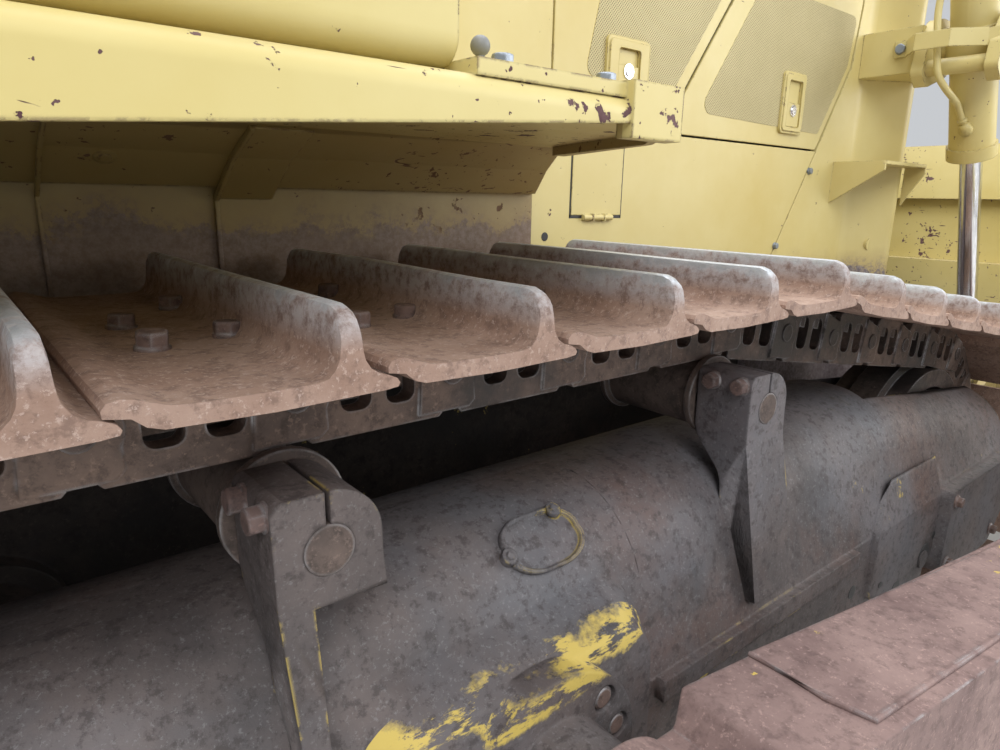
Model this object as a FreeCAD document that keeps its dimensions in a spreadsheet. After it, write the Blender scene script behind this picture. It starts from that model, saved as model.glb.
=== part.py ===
import FreeCAD, Part
import math
import os

from FreeCAD import Placement, Rotation, Vector

# Crawler dozer with a semi-U blade, in millimetres.
# +X is forward, +Y is the machine's left, +Z is up; the ground is z = 0.
# Pieces are drawn on the right side (negative y) and mirrored to the left.

# Driving dimensions: name, value, meaning
SIZES = (
    ("track_pitch", 228.6, "pin to pin along the chain"),
    ("shoe_width", 660.0, "single grouser shoe across the track"),
    ("track_gauge", 2140.0, "centre to centre of the two tracks"),
    ("shoe_seat", 64.0, "pin line out to the underside of a shoe"),
    ("shoe_plate", 16.0, "thickness of a shoe's plate"),
    ("grouser_rise", 64.0, "grouser tip above the plate"),
    ("grouser_thick", 20.0, "grouser at its tip"),
    ("grouser_place", 68.0, "grouser ahead of the middle of its shoe"),
    ("rail_drop", 65.0, "pin line in to the rail that the rollers run on"),
    ("rail_thick", 40.0, "width of one chain rail"),
    ("rail_apart", 75.0, "middle of a rail from the middle of the chain"),
    ("shoe_phase_x", -650.0, "middle of one shoe on the level upper run"),
    ("sprocket_teeth", 27.0, "two teeth to each pitch"),
    ("sprocket_x", -1940.0, "sprocket centre"),
    ("sprocket_z", 690.0, "sprocket centre"),
    ("sprocket_thick", 84.0, "tooth width"),
    ("drive_radius", 300.0, "final drive housing"),
    ("idler_x", 1500.0, "front idler centre"),
    ("idler_z", 582.0, "front idler centre"),
    ("idler_tread", 345.0, "radius that carries the rails"),
    ("roller_first_x", -1500.0, "rearmost bottom roller"),
    ("roller_step", 360.0, "between bottom rollers"),
    ("roller_count", 8.0, "bottom rollers on each side"),
    ("roller_tread", 135.0, "radius"),
    ("carrier_rear_x", -565.0, "rear carrier roller"),
    ("carrier_front_x", 300.0, "front carrier roller"),
    ("carrier_tread", 67.0, "radius"),
    ("carrier_shaft", 29.0, "shaft radius in its bracket"),
    ("upper_run_z", 1186.0, "pin line of the level upper run"),
    ("frame_crest_z", 950.0, "top of the track frame tube"),
    ("frame_floor_z", 505.0, "underside of the track frame tube"),
    ("frame_half", 265.0, "half width of the track frame tube below its waist"),
    ("frame_waist_z", 655.0, "where the tube's sides start to lean in"),
    ("frame_lean", 94.0, "lean of each side between the waist and the crest"),
    ("frame_round", 190.0, "rounding of the tube's upper corner, outer side"),
    ("frame_rear_x", -1420.0, "rear end of the track frame tube"),
    ("frame_front_x", 1000.0, "where the tube divides into the fork round the idler"),
    ("frame_nose_x", 1800.0, "front end of the fork"),
    ("frame_nose_z", 850.0, "top of the fork's front end"),
    ("frame_bay", 120.0, "half width of the fork's bay"),
    ("skirt_foot_z", 290.0, "lower edge of the skirts"),
    ("skirt_thick", 40.0, "plates that carry the bottom rollers"),
    ("arm_pivot_x", -300.0, "push arm trunnion"),
    ("arm_pivot_z", 650.0, "push arm trunnion"),
    ("arm_outboard", 225.0, "middle of the push arm at its trunnion, out from the track frame"),
    ("arm_shaft", 75.0, "trunnion radius"),
    ("arm_eye", 130.0, "radius of the push arm's eye"),
    ("arm_eye_wide", 160.0, "push arm's eye, across"),
    ("arm_wide", 200.0, "push arm box, across"),
    ("arm_high", 300.0, "push arm box, upright"),
    ("arm_splay", 0.072, "outward run of the arm for each forward millimetre"),
    ("blade_pin_x", 2640.0, "pins that join the arms to the blade"),
    ("blade_pin_z", 404.0, "pins that join the arms to the blade"),
    ("blade_pin", 50.0, "pin radius"),
    ("running_gap", 0.05, "radial clearance of a pin in its bore"),
    ("side_gap", 6.0, "clearance beside a moving eye"),
    ("blade_beyond", 207.0, "end of the blade out from the arm's front pin"),
    ("blade_wing", 630.0, "width of each angled end of the blade"),
    ("blade_sweep", 200.0, "forward reach of the angled ends"),
    ("blade_top_z", 1690.0, "top edge"),
    ("blade_top_x", 2950.0, "top edge of the face"),
    ("blade_foot_x", 3010.0, "face at the top of the cutting edge"),
    ("blade_foot_z", 230.0, "top of the cutting edge"),
    ("blade_edge_x", 3100.0, "tip of the cutting edge at the middle"),
    ("blade_hollow", 185.0, "depth of the face's curve behind its chord"),
    ("blade_skin", 30.0, "thickness of the face plate"),
    ("edge_thick", 40.0, "cutting edge"),
    ("lift_y", 950.0, "lift cylinders from the middle"),
    ("lift_top_x", 2030.0, "trunnion of a lift cylinder"),
    ("lift_top_z", 1960.0, "trunnion of a lift cylinder"),
    ("lift_eye_x", 2622.0, "lift cylinder's eye on the blade"),
    ("lift_eye_z", 600.0, "lift cylinder's eye on the blade"),
    ("lift_barrel", 72.5, "outside radius"),
    ("lift_bore", 55.0, "bore radius"),
    ("lift_rod", 36.5, "rod radius"),
    ("lift_above", 1080.0, "barrel above its trunnion"),
    ("lift_below", 394.0, "barrel below its trunnion"),
    ("lift_rod_long", 1610.0, "rod from its eye to its piston"),
    ("lift_pin", 45.0, "trunnion pin radius"),
    ("tilt_base_x", 1300.0, "pitch cylinder's foot on the arm"),
    ("tilt_base_z", 790.0, "pitch cylinder's foot on the arm"),
    ("tilt_eye_x", 2650.0, "pitch cylinder's eye on the blade"),
    ("tilt_eye_z", 1230.0, "pitch cylinder's eye on the blade"),
    ("tilt_barrel", 80.0, "outside radius"),
    ("tilt_bore", 62.0, "bore radius"),
    ("tilt_rod", 40.0, "rod radius"),
    ("tilt_barrel_long", 760.0, "barrel from its foot pin"),
    ("tilt_rod_long", 1000.0, "rod from its eye to its piston"),
    ("tilt_pin", 40.0, "pin radius"),
    ("fender_top_z", 1526.0, "upper face of the fenders"),
    ("fender_over", 10.0, "fender out beyond the shoes"),
    ("fender_drop", 55.0, "depth of the fender's apron"),
    ("fender_inside", 25.0, "fender's wall in from the shoes"),
    ("fender_rear_x", -2480.0, "rear end of the fenders"),
    ("fender_tip_x", -170.0, "front end of the apron"),
    ("hull_half", 595.7, "half width of the main frame under the engine"),
    ("hood_side_y", 620.0, "outer face of the hood's sides"),
    ("hood_top_z", 2350.0, "top of the hood"),
    ("hood_edge_z", 2185.0, "lower edge of the hood's top panel"),
    ("hood_rear_x", -425.0, "rear end of the hood"),
    ("door_rear_x", 370.0, "rear edge of the rear engine door"),
    ("door_foot_z", 1605.0, "lower edge of the engine doors"),
    ("door_thick", 40.0, "engine door"),
    ("door_skin", 8.0, "outer skin of an engine door"),
    ("door_gap", 6.0, "shut line round the engine doors"),
    ("door_hinge_out", 16.0, "hinge line of the engine doors, out from the door"),
    ("panel_thick", 24.0, "hood and guard plates"),
    ("guard_front_x", 2200.0, "front face of the radiator guard"),
    ("guard_flare_y", 740.0, "half width of the guard's front corner"),
    ("guard_foot_z", 640.0, "lower edge of the radiator guard"),
    ("cab_half", 780.0, "half width of the cab at its doors"),
    ("cab_wall", 50.0, "cab wall and door"),
    ("cab_floor_z", 1790.0, "upper face of the cab floor"),
    ("cab_roof_z", 3150.0, "upper face of the cab's walls"),
    ("roof_thick", 130.0, "cab roof"),
    ("cab_rear_x", -1850.0, "rear wall of the cab"),
    ("cab_front_x", -430.0, "front wall of the cab"),
    ("cab_nose_half", 500.0, "half width of the cab's front wall"),
    ("cab_tail_half", 620.0, "half width of the cab's rear wall"),
    ("cab_side_rear_x", -1700.0, "where the side wall starts"),
    ("cab_side_front_x", -860.0, "where the side wall ends"),
    ("cab_hinge_x", -1637.5, "hinge line of the cab doors"),
    ("cab_hinge_out", 19.0, "hinge line of the cab doors, out from the door"),
    ("sill_z", 1850.0, "lower edge of the door opening"),
    ("lintel_z", 3080.0, "upper edge of the door opening"),
    ("glass_thick", 12.0, "window panes"),
    ("side_tank_z", 1800.0, "top of the boxes on the fenders"),
    ("rear_end_x", -3300.0, "rear end of the drawbar"),
    ("drawbar_hole", 31.0, "radius of the towing pin's hole"),
    ("fuel_rear_x", -2720.0, "rear face of the fuel tank"),
    ("fuel_top_z", 2230.0, "top of the fuel tank"),
)

doc = FreeCAD.newDocument("bulldozer")
sheet = doc.addObject("Spreadsheet::Sheet", "Sizes")
for row, (alias, value, meaning) in enumerate(SIZES, start=1):
    sheet.set("A%d" % row, meaning)
    sheet.set("B%d" % row, str(value))
    sheet.setAlias("B%d" % row, alias)
doc.recompute()

nodes = {}


def size(alias):
    return float(sheet.get(alias))


# Helpers

def keep(label, thing):
    """Record an object of the document as a sub-part."""
    thing.Label = label
    nodes[label] = thing
    return thing


def rounded(points):
    """Closed outline of lines, with an arc where a corner (u, v, radius) has a radius."""
    count = len(points)
    starts, ends, arcs = [], [], []
    for i, point in enumerate(points):
        here = Vector(point[0], point[1], 0)
        radius = point[2] if len(point) > 2 else 0
        if not radius:
            starts.append(here)
            ends.append(here)
            arcs.append(None)
            continue
        before = Vector(*points[i - 1][:2], 0)
        after = Vector(*points[(i + 1) % count][:2], 0)
        back = (before - here).normalize()
        ahead = (after - here).normalize()
        half = back.getAngle(ahead) / 2
        reach = radius / math.tan(half)
        bisector = (back + ahead).normalize()
        middle = here + bisector * (radius / math.sin(half) - radius)
        starts.append(here + back * reach)
        ends.append(here + ahead * reach)
        arcs.append(Part.Arc(starts[-1], middle, ends[-1]))
    edges = []
    for i in range(count):
        if arcs[i]:
            edges.append(arcs[i])
        nxt = starts[(i + 1) % count]
        if (nxt - ends[i]).Length > 1e-6:
            edges.append(Part.LineSegment(ends[i], nxt))
    return edges


def sketch_in(body, role, outlines, offset=0.0):
    """Sketch on one of the body's own origin planes, moved along the plane's normal."""
    sketch = body.newObject("Sketcher::SketchObject", body.Name + "Sketch")
    plane = next(f for f in body.Origin.OriginFeatures if f.Role == role)
    sketch.AttachmentSupport = [(plane, "")]
    sketch.MapMode = "FlatFace"
    sketch.AttachmentOffset = Placement(Vector(0, 0, offset), Rotation())
    for outline in outlines:
        sketch.addGeometry(outline, False)
    return sketch


def ring(u, v, radius):
    """Round outline for a sketch."""
    return [Part.Circle(Vector(u, v, 0), Vector(0, 0, 1), radius)]


def pad(name, role, outlines, start, length):
    """Body padded from an outline. Plane XZ pads towards -Y, YZ towards +X, XY towards +Z.
    A length given as text is an expression of the sheet's cells."""
    body = doc.addObject("PartDesign::Body", name)
    sketch = sketch_in(body, role, outlines, start)
    feature = body.newObject("PartDesign::Pad", name + "Pad")
    feature.Profile = sketch
    if isinstance(length, str):
        feature.setExpression("Length", length)
    else:
        feature.Length = length
    body.Tip = feature
    return body


def revolve(name, outline, centre):
    """Body turned about a line along Y through centre (x, z). The outline is (radius, y)."""
    body = doc.addObject("PartDesign::Body", name)
    sketch = sketch_in(body, "XY_Plane", [outline])
    feature = body.newObject("PartDesign::Revolution", name + "Turn")
    feature.Profile = sketch
    feature.ReferenceAxis = (sketch, ["V_Axis"])
    feature.Angle = 360
    body.Tip = feature
    body.Placement = Placement(Vector(centre[0], 0, centre[1]), Rotation())
    return body


def box(name, low, high):
    """Box between two corners."""
    thing = doc.addObject("Part::Box", name)
    thing.Length, thing.Width, thing.Height = (high[i] - low[i] for i in range(3))
    thing.Placement = Placement(Vector(*low), Rotation())
    return thing


def rod_along(name, start, end, radius):
    """Round bar between two points."""
    thing = doc.addObject("Part::Cylinder", name)
    run = Vector(*end) - Vector(*start)
    if isinstance(radius, str):
        thing.setExpression("Radius", radius)
    else:
        thing.Radius = radius
    thing.Height = run.Length
    thing.Placement = Placement(Vector(*start), Rotation(Vector(0, 0, 1), run))
    return thing


def fuse(name, things):
    """Union of pieces that touch."""
    thing = doc.addObject("Part::MultiFuse", name)
    thing.Shapes = things
    thing.Refine = True
    return thing


def cut(name, base, tools):
    """Base with every tool taken away."""
    thing = doc.addObject("Part::Cut", name)
    thing.Base = base
    thing.Tool = tools[0] if len(tools) == 1 else fuse(name + "Tools", tools)
    thing.Refine = True
    return thing


def common(name, first, second):
    """What two pieces share."""
    thing = doc.addObject("Part::Common", name)
    thing.Base = first
    thing.Tool = second
    thing.Refine = True
    return thing


def group(name, things):
    """Pieces that share a node and don't touch."""
    thing = doc.addObject("Part::Compound", name)
    thing.Links = things
    return thing


def mirror(name, thing):
    """Copy on the machine's other side."""
    copy = doc.addObject("Part::Mirroring", name)
    copy.Source = thing
    copy.Normal = Vector(0, 1, 0)
    copy.Base = Vector(0, 0, 0)
    return copy


def loft(name, turn, sections):
    """Ruled solid through outlines of one kind. A section is (place, outline)."""
    wires = []
    for place, outline in sections:
        wire = Part.Wire([edge.toShape() for edge in outline])
        wire.Placement = Placement(Vector(*place), turn)
        wires.append(wire)
    feature = doc.addObject("Part::Feature", name)
    feature.Shape = Part.makeLoft(wires, True, True)
    return feature


def both_sides(label, thing):
    """The same sub-part on the right and on the left."""
    keep(label + "_right", thing)
    keep(label + "_left", mirror(label + "_copy", thing))


def hinge(name, point, axis, fixed_way, face_way, pin, knuckle, length):
    """Hinge with its pin along axis through point. The fixed leaf runs fixed_way from the pin and the
    moving leaf the other way; both lie on the side of the pin that face_way points to.
    Returns the fixed piece and the moving piece."""
    at, axis = Vector(*point), Vector(*axis)
    way, face = Vector(*fixed_way), Vector(*face_way)
    gap = 1.5

    def span(start, end):
        return at + axis * start, at + axis * end

    def barrel(label, start, end, radius):
        low, high = span(start, end)
        return rod_along(name + label, tuple(low), tuple(high), radius)

    def leaf(label, start, end, towards):
        low, high = span(start, end)
        far = high + towards * (knuckle * 3) + face * (knuckle + 6)
        corner = low + face * (knuckle - 8)
        lows = [min(corner[i], far[i]) for i in range(3)]
        highs = [max(corner[i], far[i]) for i in range(3)]
        return box(name + label, lows, highs)

    mid, end = length * 0.5, length * 0.5 + length * 0.4
    fixed = [barrel("Pin", -end, end, pin)]
    for label, start, stop in (("Low", -end, -mid - gap), ("High", mid + gap, end)):
        fixed.append(barrel(label, start, stop, knuckle))
        fixed.append(leaf(label + "Leaf", start, stop, way))
    moving = fuse(name + "Eye", [barrel("Mid", -mid, mid, knuckle), leaf("MidLeaf", -mid, mid, way * -1)])
    bore = barrel("Bore", -mid - 5, mid + 5, pin + size("running_gap"))
    return fuse(name + "Fixed", fixed), cut(name + "Moving", moving, [bore])


track_y = size("track_gauge") / 2
arm_y = track_y + size("frame_half") + size("arm_outboard")
arm_front_y = arm_y + size("arm_splay") * (size("blade_pin_x") - size("arm_pivot_x"))
tilt_y = arm_y + size("arm_splay") * (size("tilt_base_x") - size("arm_pivot_x")) - 4
blade_half = arm_front_y + size("blade_beyond")
blade_straight = blade_half - size("blade_wing")
fender_out_y = track_y + size("shoe_width") / 2 + size("fender_over")
fender_wall_y = track_y - size("shoe_width") / 2 - size("fender_inside")
cab_hinge_y = size("cab_half") + size("cab_hinge_out")
door_hinge_y = size("hood_side_y") + size("door_hinge_out")


# Track loop: the chain's pin line round sprocket, rollers, idler and carrier rollers

def tangent(first, second):
    """Straight run that leaves one circle and meets the next, both turned the same way.
    A circle is (x, z, radius); the loop runs forward along the ground."""
    apart = Vector(second[0] - first[0], second[1] - first[1], 0)
    lean = math.asin((second[2] - first[2]) / apart.Length)
    along = math.atan2(apart.y, apart.x) - lean
    out = Vector(math.sin(along), -math.cos(along), 0)
    start = Vector(first[0], first[1], 0) + out * first[2]
    end = Vector(second[0], second[1], 0) + out * second[2]
    return start, end, along


def track_path():
    """Runs and turns of the pin line: (length, point, direction, radius or 0, centre)."""
    ground = size("shoe_seat") + size("shoe_plate") + size("grouser_rise")
    half_turn = 2 * math.pi / size("sprocket_teeth")
    sprocket = size("track_pitch") / 2 / math.sin(half_turn)
    last_roller = size("roller_first_x") + size("roller_step") * (size("roller_count") - 1)
    lower = size("roller_tread") + size("rail_drop")
    upper = size("carrier_tread") + size("rail_drop")
    circles = (
        (size("roller_first_x"), ground + lower, lower),
        (last_roller, ground + lower, lower),
        (size("idler_x"), size("idler_z"), size("idler_tread") + size("rail_drop")),
        (size("carrier_front_x"), size("upper_run_z") - upper, upper),
        (size("carrier_rear_x"), size("upper_run_z") - upper, upper),
        (size("sprocket_x"), size("sprocket_z"), sprocket),
    )
    count = len(circles)
    runs = [tangent(circles[i], circles[(i + 1) % count]) for i in range(count)]
    path = []
    for i, (start, end, along) in enumerate(runs):
        path.append(((end - start).Length, start, along, 0.0, None))
        circle = circles[(i + 1) % count]
        turn = (runs[(i + 1) % count][2] - along) % (2 * math.pi)
        path.append((circle[2] * turn, end, along, circle[2], Vector(circle[0], circle[1], 0)))
    return path, sprocket


def path_at(path, distance):
    """Point of the pin line and its direction, at a distance along the loop."""
    total = sum(piece[0] for piece in path)
    distance %= total
    for length, start, along, radius, centre in path:
        if distance > length:
            distance -= length
            continue
        if not radius:
            return start + Vector(math.cos(along), math.sin(along), 0) * distance, along
        along += distance / radius
        return centre + Vector(math.sin(along), -math.cos(along), 0) * radius, along
    return path[0][1], path[0][2]


path, sprocket_pitch = track_path()
loop_length = sum(piece[0] for piece in path)
shoe_count = round(loop_length / size("track_pitch"))
shoe_step = loop_length / shoe_count

# The level upper run starts over the front carrier roller, after three runs and three turns
upper_start = sum(piece[0] for piece in path[:6])
phase = upper_start + size("carrier_front_x") - size("shoe_phase_x")


def shoe_frames():
    """Middle of each shoe on the pin line, with its forward and outward directions."""
    frames = []
    for i in range(shoe_count):
        point, along = path_at(path, phase - i * shoe_step)
        forward = Vector(-math.cos(along), -math.sin(along), 0)
        outward = Vector(math.sin(along), -math.cos(along), 0)
        frames.append((point, forward, outward))
    return frames


frames = shoe_frames()


def crossing(here, forward, other, drop):
    """Where the rail line through here meets the rail line of the shoe before it."""
    there = other[0] - other[2] * drop
    turn = forward.x * other[1].y - forward.y * other[1].x
    if abs(turn) < 1e-6:
        return (here + there) * 0.5
    gap = there - here
    return here + forward * ((gap.x * other[1].y - gap.y * other[1].x) / turn)


def track():
    """Closed loop of single grouser shoes on two chain rails."""
    plate = size("shoe_seat") + size("shoe_plate")
    tip = plate + size("grouser_rise")
    half = shoe_step / 2
    near = size("grouser_place") - size("grouser_thick") / 2
    far = size("grouser_place") + size("grouser_thick") / 2
    # Outline of one shoe from rear to front: (forward, outward)
    profile = (
        (-half + 2, plate - 6),
        (-half + 14, plate + 6),
        (-half + 34, plate),
        (near - 10, plate),
        (near, tip),
        (far, tip),
        (far + 8, plate),
        (half - 2, plate - 8),
    )
    outer, seat, rail = [], [], []
    for i, (point, forward, outward) in enumerate(frames):
        for ahead, out in profile:
            outer.append(point + forward * ahead + outward * out)
        seat.append(point + outward * size("shoe_seat"))
        here = point - outward * size("rail_drop")
        rail.append(crossing(here, forward, frames[i - 1], size("rail_drop")))

    def slab(points, y, wide):
        wire = Part.makePolygon([Vector(p.x, y, p.y) for p in points + points[:1]])
        return Part.Face(wire).extrude(Vector(0, wide, 0))

    def band(outside, inside, y, wide):
        return slab(outside, y, wide).cut(slab(inside, y, wide))

    belt = band(outer, seat, -track_y - size("shoe_width") / 2, size("shoe_width"))
    lifted = [point + outward * (size("shoe_seat") + 2) for point, forward, outward in frames]
    solid = belt
    for side in (-1, 1):
        edge = -track_y + side * size("rail_apart") - size("rail_thick") / 2
        solid = solid.fuse(band(lifted, rail, edge, size("rail_thick")))
    feature = doc.addObject("Part::Feature", "TrackLoop")
    feature.Shape = solid
    return feature


both_sides("track", track())


# Sprocket, final drive and idler

def sprocket():
    """Toothed ring. Its teeth stand between the pins, two to each pitch."""
    teeth = int(size("sprocket_teeth"))
    root, crest = sprocket_pitch - 38, sprocket_pitch + 10
    step = 2 * math.pi / teeth
    centre = Vector(size("sprocket_x"), size("sprocket_z"), 0)
    pins = [f[0] + f[1] * (shoe_step / 2) - centre for f in frames]
    rear = min(pins, key=lambda p: p.x)
    first = math.atan2(rear.y, rear.x)
    points = []
    for i in range(teeth):
        middle = first + (i + 0.5) * step
        for share, radius in ((-0.30, root), (-0.12, crest), (0.12, crest), (0.30, root)):
            angle = middle + share * step
            points.append((radius * math.cos(angle) + centre.x, radius * math.sin(angle) + centre.y))
    outlines = [rounded(points), ring(centre.x, centre.y, size("drive_radius") + 0.3)]
    return pad("Sprocket", "XZ_Plane", outlines, track_y - size("sprocket_thick") / 2, "Sizes.sprocket_thick")


both_sides("sprocket", sprocket())


def final_drive():
    """Stepped round housing from the main frame out through the sprocket."""
    r = size("drive_radius")
    inner, outer = size("hood_side_y"), track_y + 175
    outline = (
        (0, -inner), (0, -outer), (r * 0.30, -outer), (r * 0.42, -outer + 30), (r * 0.80, -outer + 45),
        (r * 0.90, -outer + 75), (r, -outer + 85), (r, -inner - 70), (r * 1.15, -inner - 55), (r * 1.15, -inner),
    )
    return revolve("FinalDrive", rounded(outline), (size("sprocket_x"), size("sprocket_z")))


def idler():
    """Wheel with two treads and a middle flange between the rails."""
    tread = size("idler_tread") - 0.3
    flange = tread + 22
    near, far = track_y - 105, track_y + 105
    outline = (
        (45, -near), (45, -far), (110, -far), (120, -far + 30), (tread - 70, -far + 45), (tread - 55, -far + 5),
        (tread, -far + 5), (tread, -track_y - 48), (flange, -track_y - 42), (flange, -track_y + 42),
        (tread, -track_y + 48), (tread, -near - 5), (tread - 55, -near - 5), (tread - 70, -near - 45),
        (120, -near - 30), (110, -near),
    )
    return revolve("Idler", rounded(outline), (size("idler_x"), size("idler_z")))


both_sides("idler", idler())


# Bottom rollers: double flange, on a fixed shaft that ends in the frame's skirts

def bottom_rollers():
    tread = size("roller_tread") - 0.3
    axle_z = (size("shoe_seat") + size("shoe_plate") + size("grouser_rise") + size("rail_drop")
              + size("roller_tread"))
    end = size("frame_half") - size("skirt_thick")
    half = ((0, end), (34, end), (34, 135), (62, 135), (66, 128), (tread + 18, 122), (tread + 18, 104),
            (tread, 100), (tread, 50), (46, 44))
    outline = [(r, -track_y + y) for r, y in half] + [(r, -track_y - y) for r, y in reversed(half)]
    rollers = []
    for i in range(int(size("roller_count"))):
        x = size("roller_first_x") + i * size("roller_step")
        rollers.append(revolve("Roller%d" % i, rounded(outline), (x, axle_z)))
    return rollers


# Carrier rollers: each hangs on a cast bracket that stands on the frame's outer side

CARRIERS = ("carrier_rear_x", "carrier_front_x")
bracket_in = track_y + size("frame_half") - 145
bracket_out = track_y + size("frame_half") - 35
bracket_foot = track_y + size("frame_half") + 10
carrier_z = size("upper_run_z") - size("rail_drop") - size("carrier_tread")


def carrier_rollers():
    tread, shaft = size("carrier_tread") - 0.3, size("carrier_shaft")
    inner = ((0, 122), (tread * 0.6, 122), (tread + 10, 114), (tread + 10, 101), (tread, 97), (tread, -97))
    outer = ((tread + 10, -101), (tread + 10, -114), (tread - 10, -114), (shaft + 12, -100), (shaft, -100))
    outline = [(r, -track_y + y) for r, y in inner + outer]
    outline += [(shaft, -bracket_out - 1), (0, -bracket_out - 1)]
    return [revolve("Carrier" + name, rounded(outline), (size(name), carrier_z)) for name in CARRIERS]


both_sides("track_rollers", group("TrackRollers", bottom_rollers() + carrier_rollers()))


def carrier_brackets():
    """Split clamp round the roller's shaft on a cast upright that leans out to the frame's side."""
    brackets = []
    foot = size("frame_waist_z") + 35
    top = carrier_z + 66
    bend = (
        (-bracket_in, top + 5), (-bracket_in, carrier_z - 60, 35), (-bracket_in - 60, carrier_z - 130, 60),
        (-bracket_in - 80, foot), (-bracket_foot, foot), (-bracket_out, carrier_z - 60), (-bracket_out, top + 5),
    )
    for name in CARRIERS:
        x = size(name)
        front = (
            (x - 44, foot), (x + 78, foot), (x + 78, carrier_z - 170), (x + 64, carrier_z - 20), (x + 62, top, 60),
            (x - 62, top, 14), (x - 60, carrier_z - 45),
        )
        post = common("Upright" + name, pad("Front" + name, "XZ_Plane", [rounded(front)], bracket_in, 155),
                      pad("Bend" + name, "YZ_Plane", [rounded(bend)], x - 80, 160))
        slot = box("Split" + name, (x - 3, -bracket_out - 5, carrier_z + size("carrier_shaft") - 5),
                   (x + 3, -bracket_in + 5, top + 10))
        bore = rod_along("Bore" + name, (x, -bracket_in + 5, carrier_z), (x, -bracket_out - 5, carrier_z),
                         "Sizes.carrier_shaft + 0.3")
        brackets.append(cut("Clamp" + name, post, [slot, bore]))
    return brackets


# Track frame: rounded tube that divides round the idler, skirts for the rollers, push arm's trunnion

def tube_section(crest):
    """Section of the tube: sides that lean in from the waist to a rounded crest."""
    half, lean, turn = size("frame_half"), size("frame_lean"), size("frame_round")
    floor, waist = size("frame_floor_z"), size("frame_waist_z")
    return rounded((
        (-track_y - half, floor, 20), (-track_y - half, waist, 60), (-track_y - half + lean, crest, turn),
        (-track_y + half - lean, crest, turn + 40), (-track_y + half, waist, 60), (-track_y + half, floor, 20),
    ))


def idler_fork():
    """The tube drawn down to two arms, one on each side of the idler."""
    start, nose, bay = size("frame_front_x"), size("frame_nose_x"), size("frame_bay")
    floor, crest, low_crest = size("frame_floor_z"), size("frame_crest_z"), size("frame_nose_z")
    across = Rotation(Vector(0, 1, 0), Vector(0, 0, 1), Vector(1, 0, 0), "ZXY")
    taper = loft("ForkTaper", across, [((start, 0, 0), tube_section(crest)), ((nose, 0, 0), tube_section(low_crest))])
    side = ((start - 20, floor - 10), (nose, floor - 10, 120), (nose, low_crest + 8, 140), (start - 20, crest + 30))
    arms = common("ForkArms", taper, pad("ForkSide", "XZ_Plane", [rounded(side)], track_y - 300, 600))
    return arms, box("ForkBay", (start - 20, -track_y - bay, floor - 100), (nose + 50, -track_y + bay, crest + 50))


def trunnion_boss():
    """Tapered casting on the tube's side, its bolted flange and the trunnion for the push arm's eye."""
    x, z = size("arm_pivot_x"), size("arm_pivot_z")
    face = track_y + size("frame_half")
    floor = size("frame_floor_z")

    def shield(shrink):
        return rounded((
            (x - 262 + shrink, floor + 5), (x + 262 - shrink, floor + 5), (x + 270 - shrink, z - 20, 60),
            (x + 253 - shrink, z + 83, 90), (x + 158 - shrink, z + 215 - shrink, 70),
            (x - 158 + shrink, z + 215 - shrink, 70), (x - 253 + shrink, z + 83, 90), (x - 270 + shrink, z - 20, 60),
        ))

    upright = Rotation(Vector(1, 0, 0), Vector(0, 0, 1), Vector(0, -1, 0), "ZXY")
    sections = [((0, -face + distance, 0), shield(shrink)) for distance, shrink in ((80, -12), (-10, 0), (-31, 35))]
    boss = fuse("Boss", [loft("BossFoot", upright, sections[:2]), loft("BossCrown", upright, sections[1:])])
    flange = pad("BossFlange", "XZ_Plane", [rounded((
        (x - 135, z - 135, 40), (x + 135, z - 135, 40), (x + 135, z + 100, 40), (x + 70, z + 165, 40),
        (x - 70, z + 165, 40), (x - 135, z + 100, 40)))], face + 20, 43)
    eye = size("arm_eye_wide") / 2 + size("side_gap")
    return [
        boss, flange,
        rod_along("TrunnionNeck", (x, -face - 50, z), (x, -arm_y + eye, z), 100),
        rod_along("Trunnion", (x, -arm_y + eye + 1, z), (x, -arm_y - eye - 1, z), "Sizes.arm_shaft"),
        rod_along("TrunnionCap", (x, -arm_y - eye, z), (x, -arm_y - eye - 18, z), 105),
    ]


def track_frame():
    half, floor, foot = size("frame_half"), size("frame_floor_z"), size("skirt_foot_z")
    first = size("roller_first_x")
    last = first + size("roller_step") * (size("roller_count") - 1)
    axle_x, axle_z = size("idler_x"), size("idler_z")
    tube = pad("FrameTube", "YZ_Plane", [tube_section(size("frame_crest_z"))], size("frame_rear_x"),
               "Sizes.frame_front_x - Sizes.frame_rear_x")
    arms, bay = idler_fork()
    pieces = [cut("FrameTubes", fuse("FrameTubesWhole", [tube, arms]), [bay])]
    skirt = (
        (first - 90, floor + 60), (first - 90, foot + 60, 30), (first - 45, foot, 30), (last + 70, foot, 30),
        (last + 150, foot + 90, 60), (last + 170, floor + 60),
    )
    for name, y in (("Out", track_y + half - size("skirt_thick")), ("In", track_y - half)):
        pieces.append(pad("Skirt" + name, "XZ_Plane", [rounded(skirt)], y, "Sizes.skirt_thick"))
    ledge = ((-20, 615), (690, 615), (690, 655), (-20, 655))
    pieces.append(pad("Ledge", "XZ_Plane", [rounded(ledge)], track_y + half - 20, 37))
    raised = (
        (795, 480, 30), (1180, 480), (1180, 770), (905, 770, 60), (795, 660, 60),
    )
    pieces.append(pad("ForkCheek", "XZ_Plane", [rounded(raised)], track_y + half - 20, 32))
    guard = (
        (1190, 430, 30), (1330, 400, 20), (1600, 400, 60), (1720, 520, 90), (1720, 668, 60), (1190, 668, 20),
    )
    pieces.append(pad("ForkGuard", "XZ_Plane", [rounded(guard)], track_y + half - 20, 57))
    pieces.append(rod_along("IdlerAxle", (axle_x, -track_y + half - 1, axle_z), (axle_x, -track_y - half + 1, axle_z), 44.7))
    return fuse("TrackFrame", pieces + trunnion_boss() + carrier_brackets())


both_sides("track_frame", track_frame())


# Cross members between the track frames and the main frame

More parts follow.
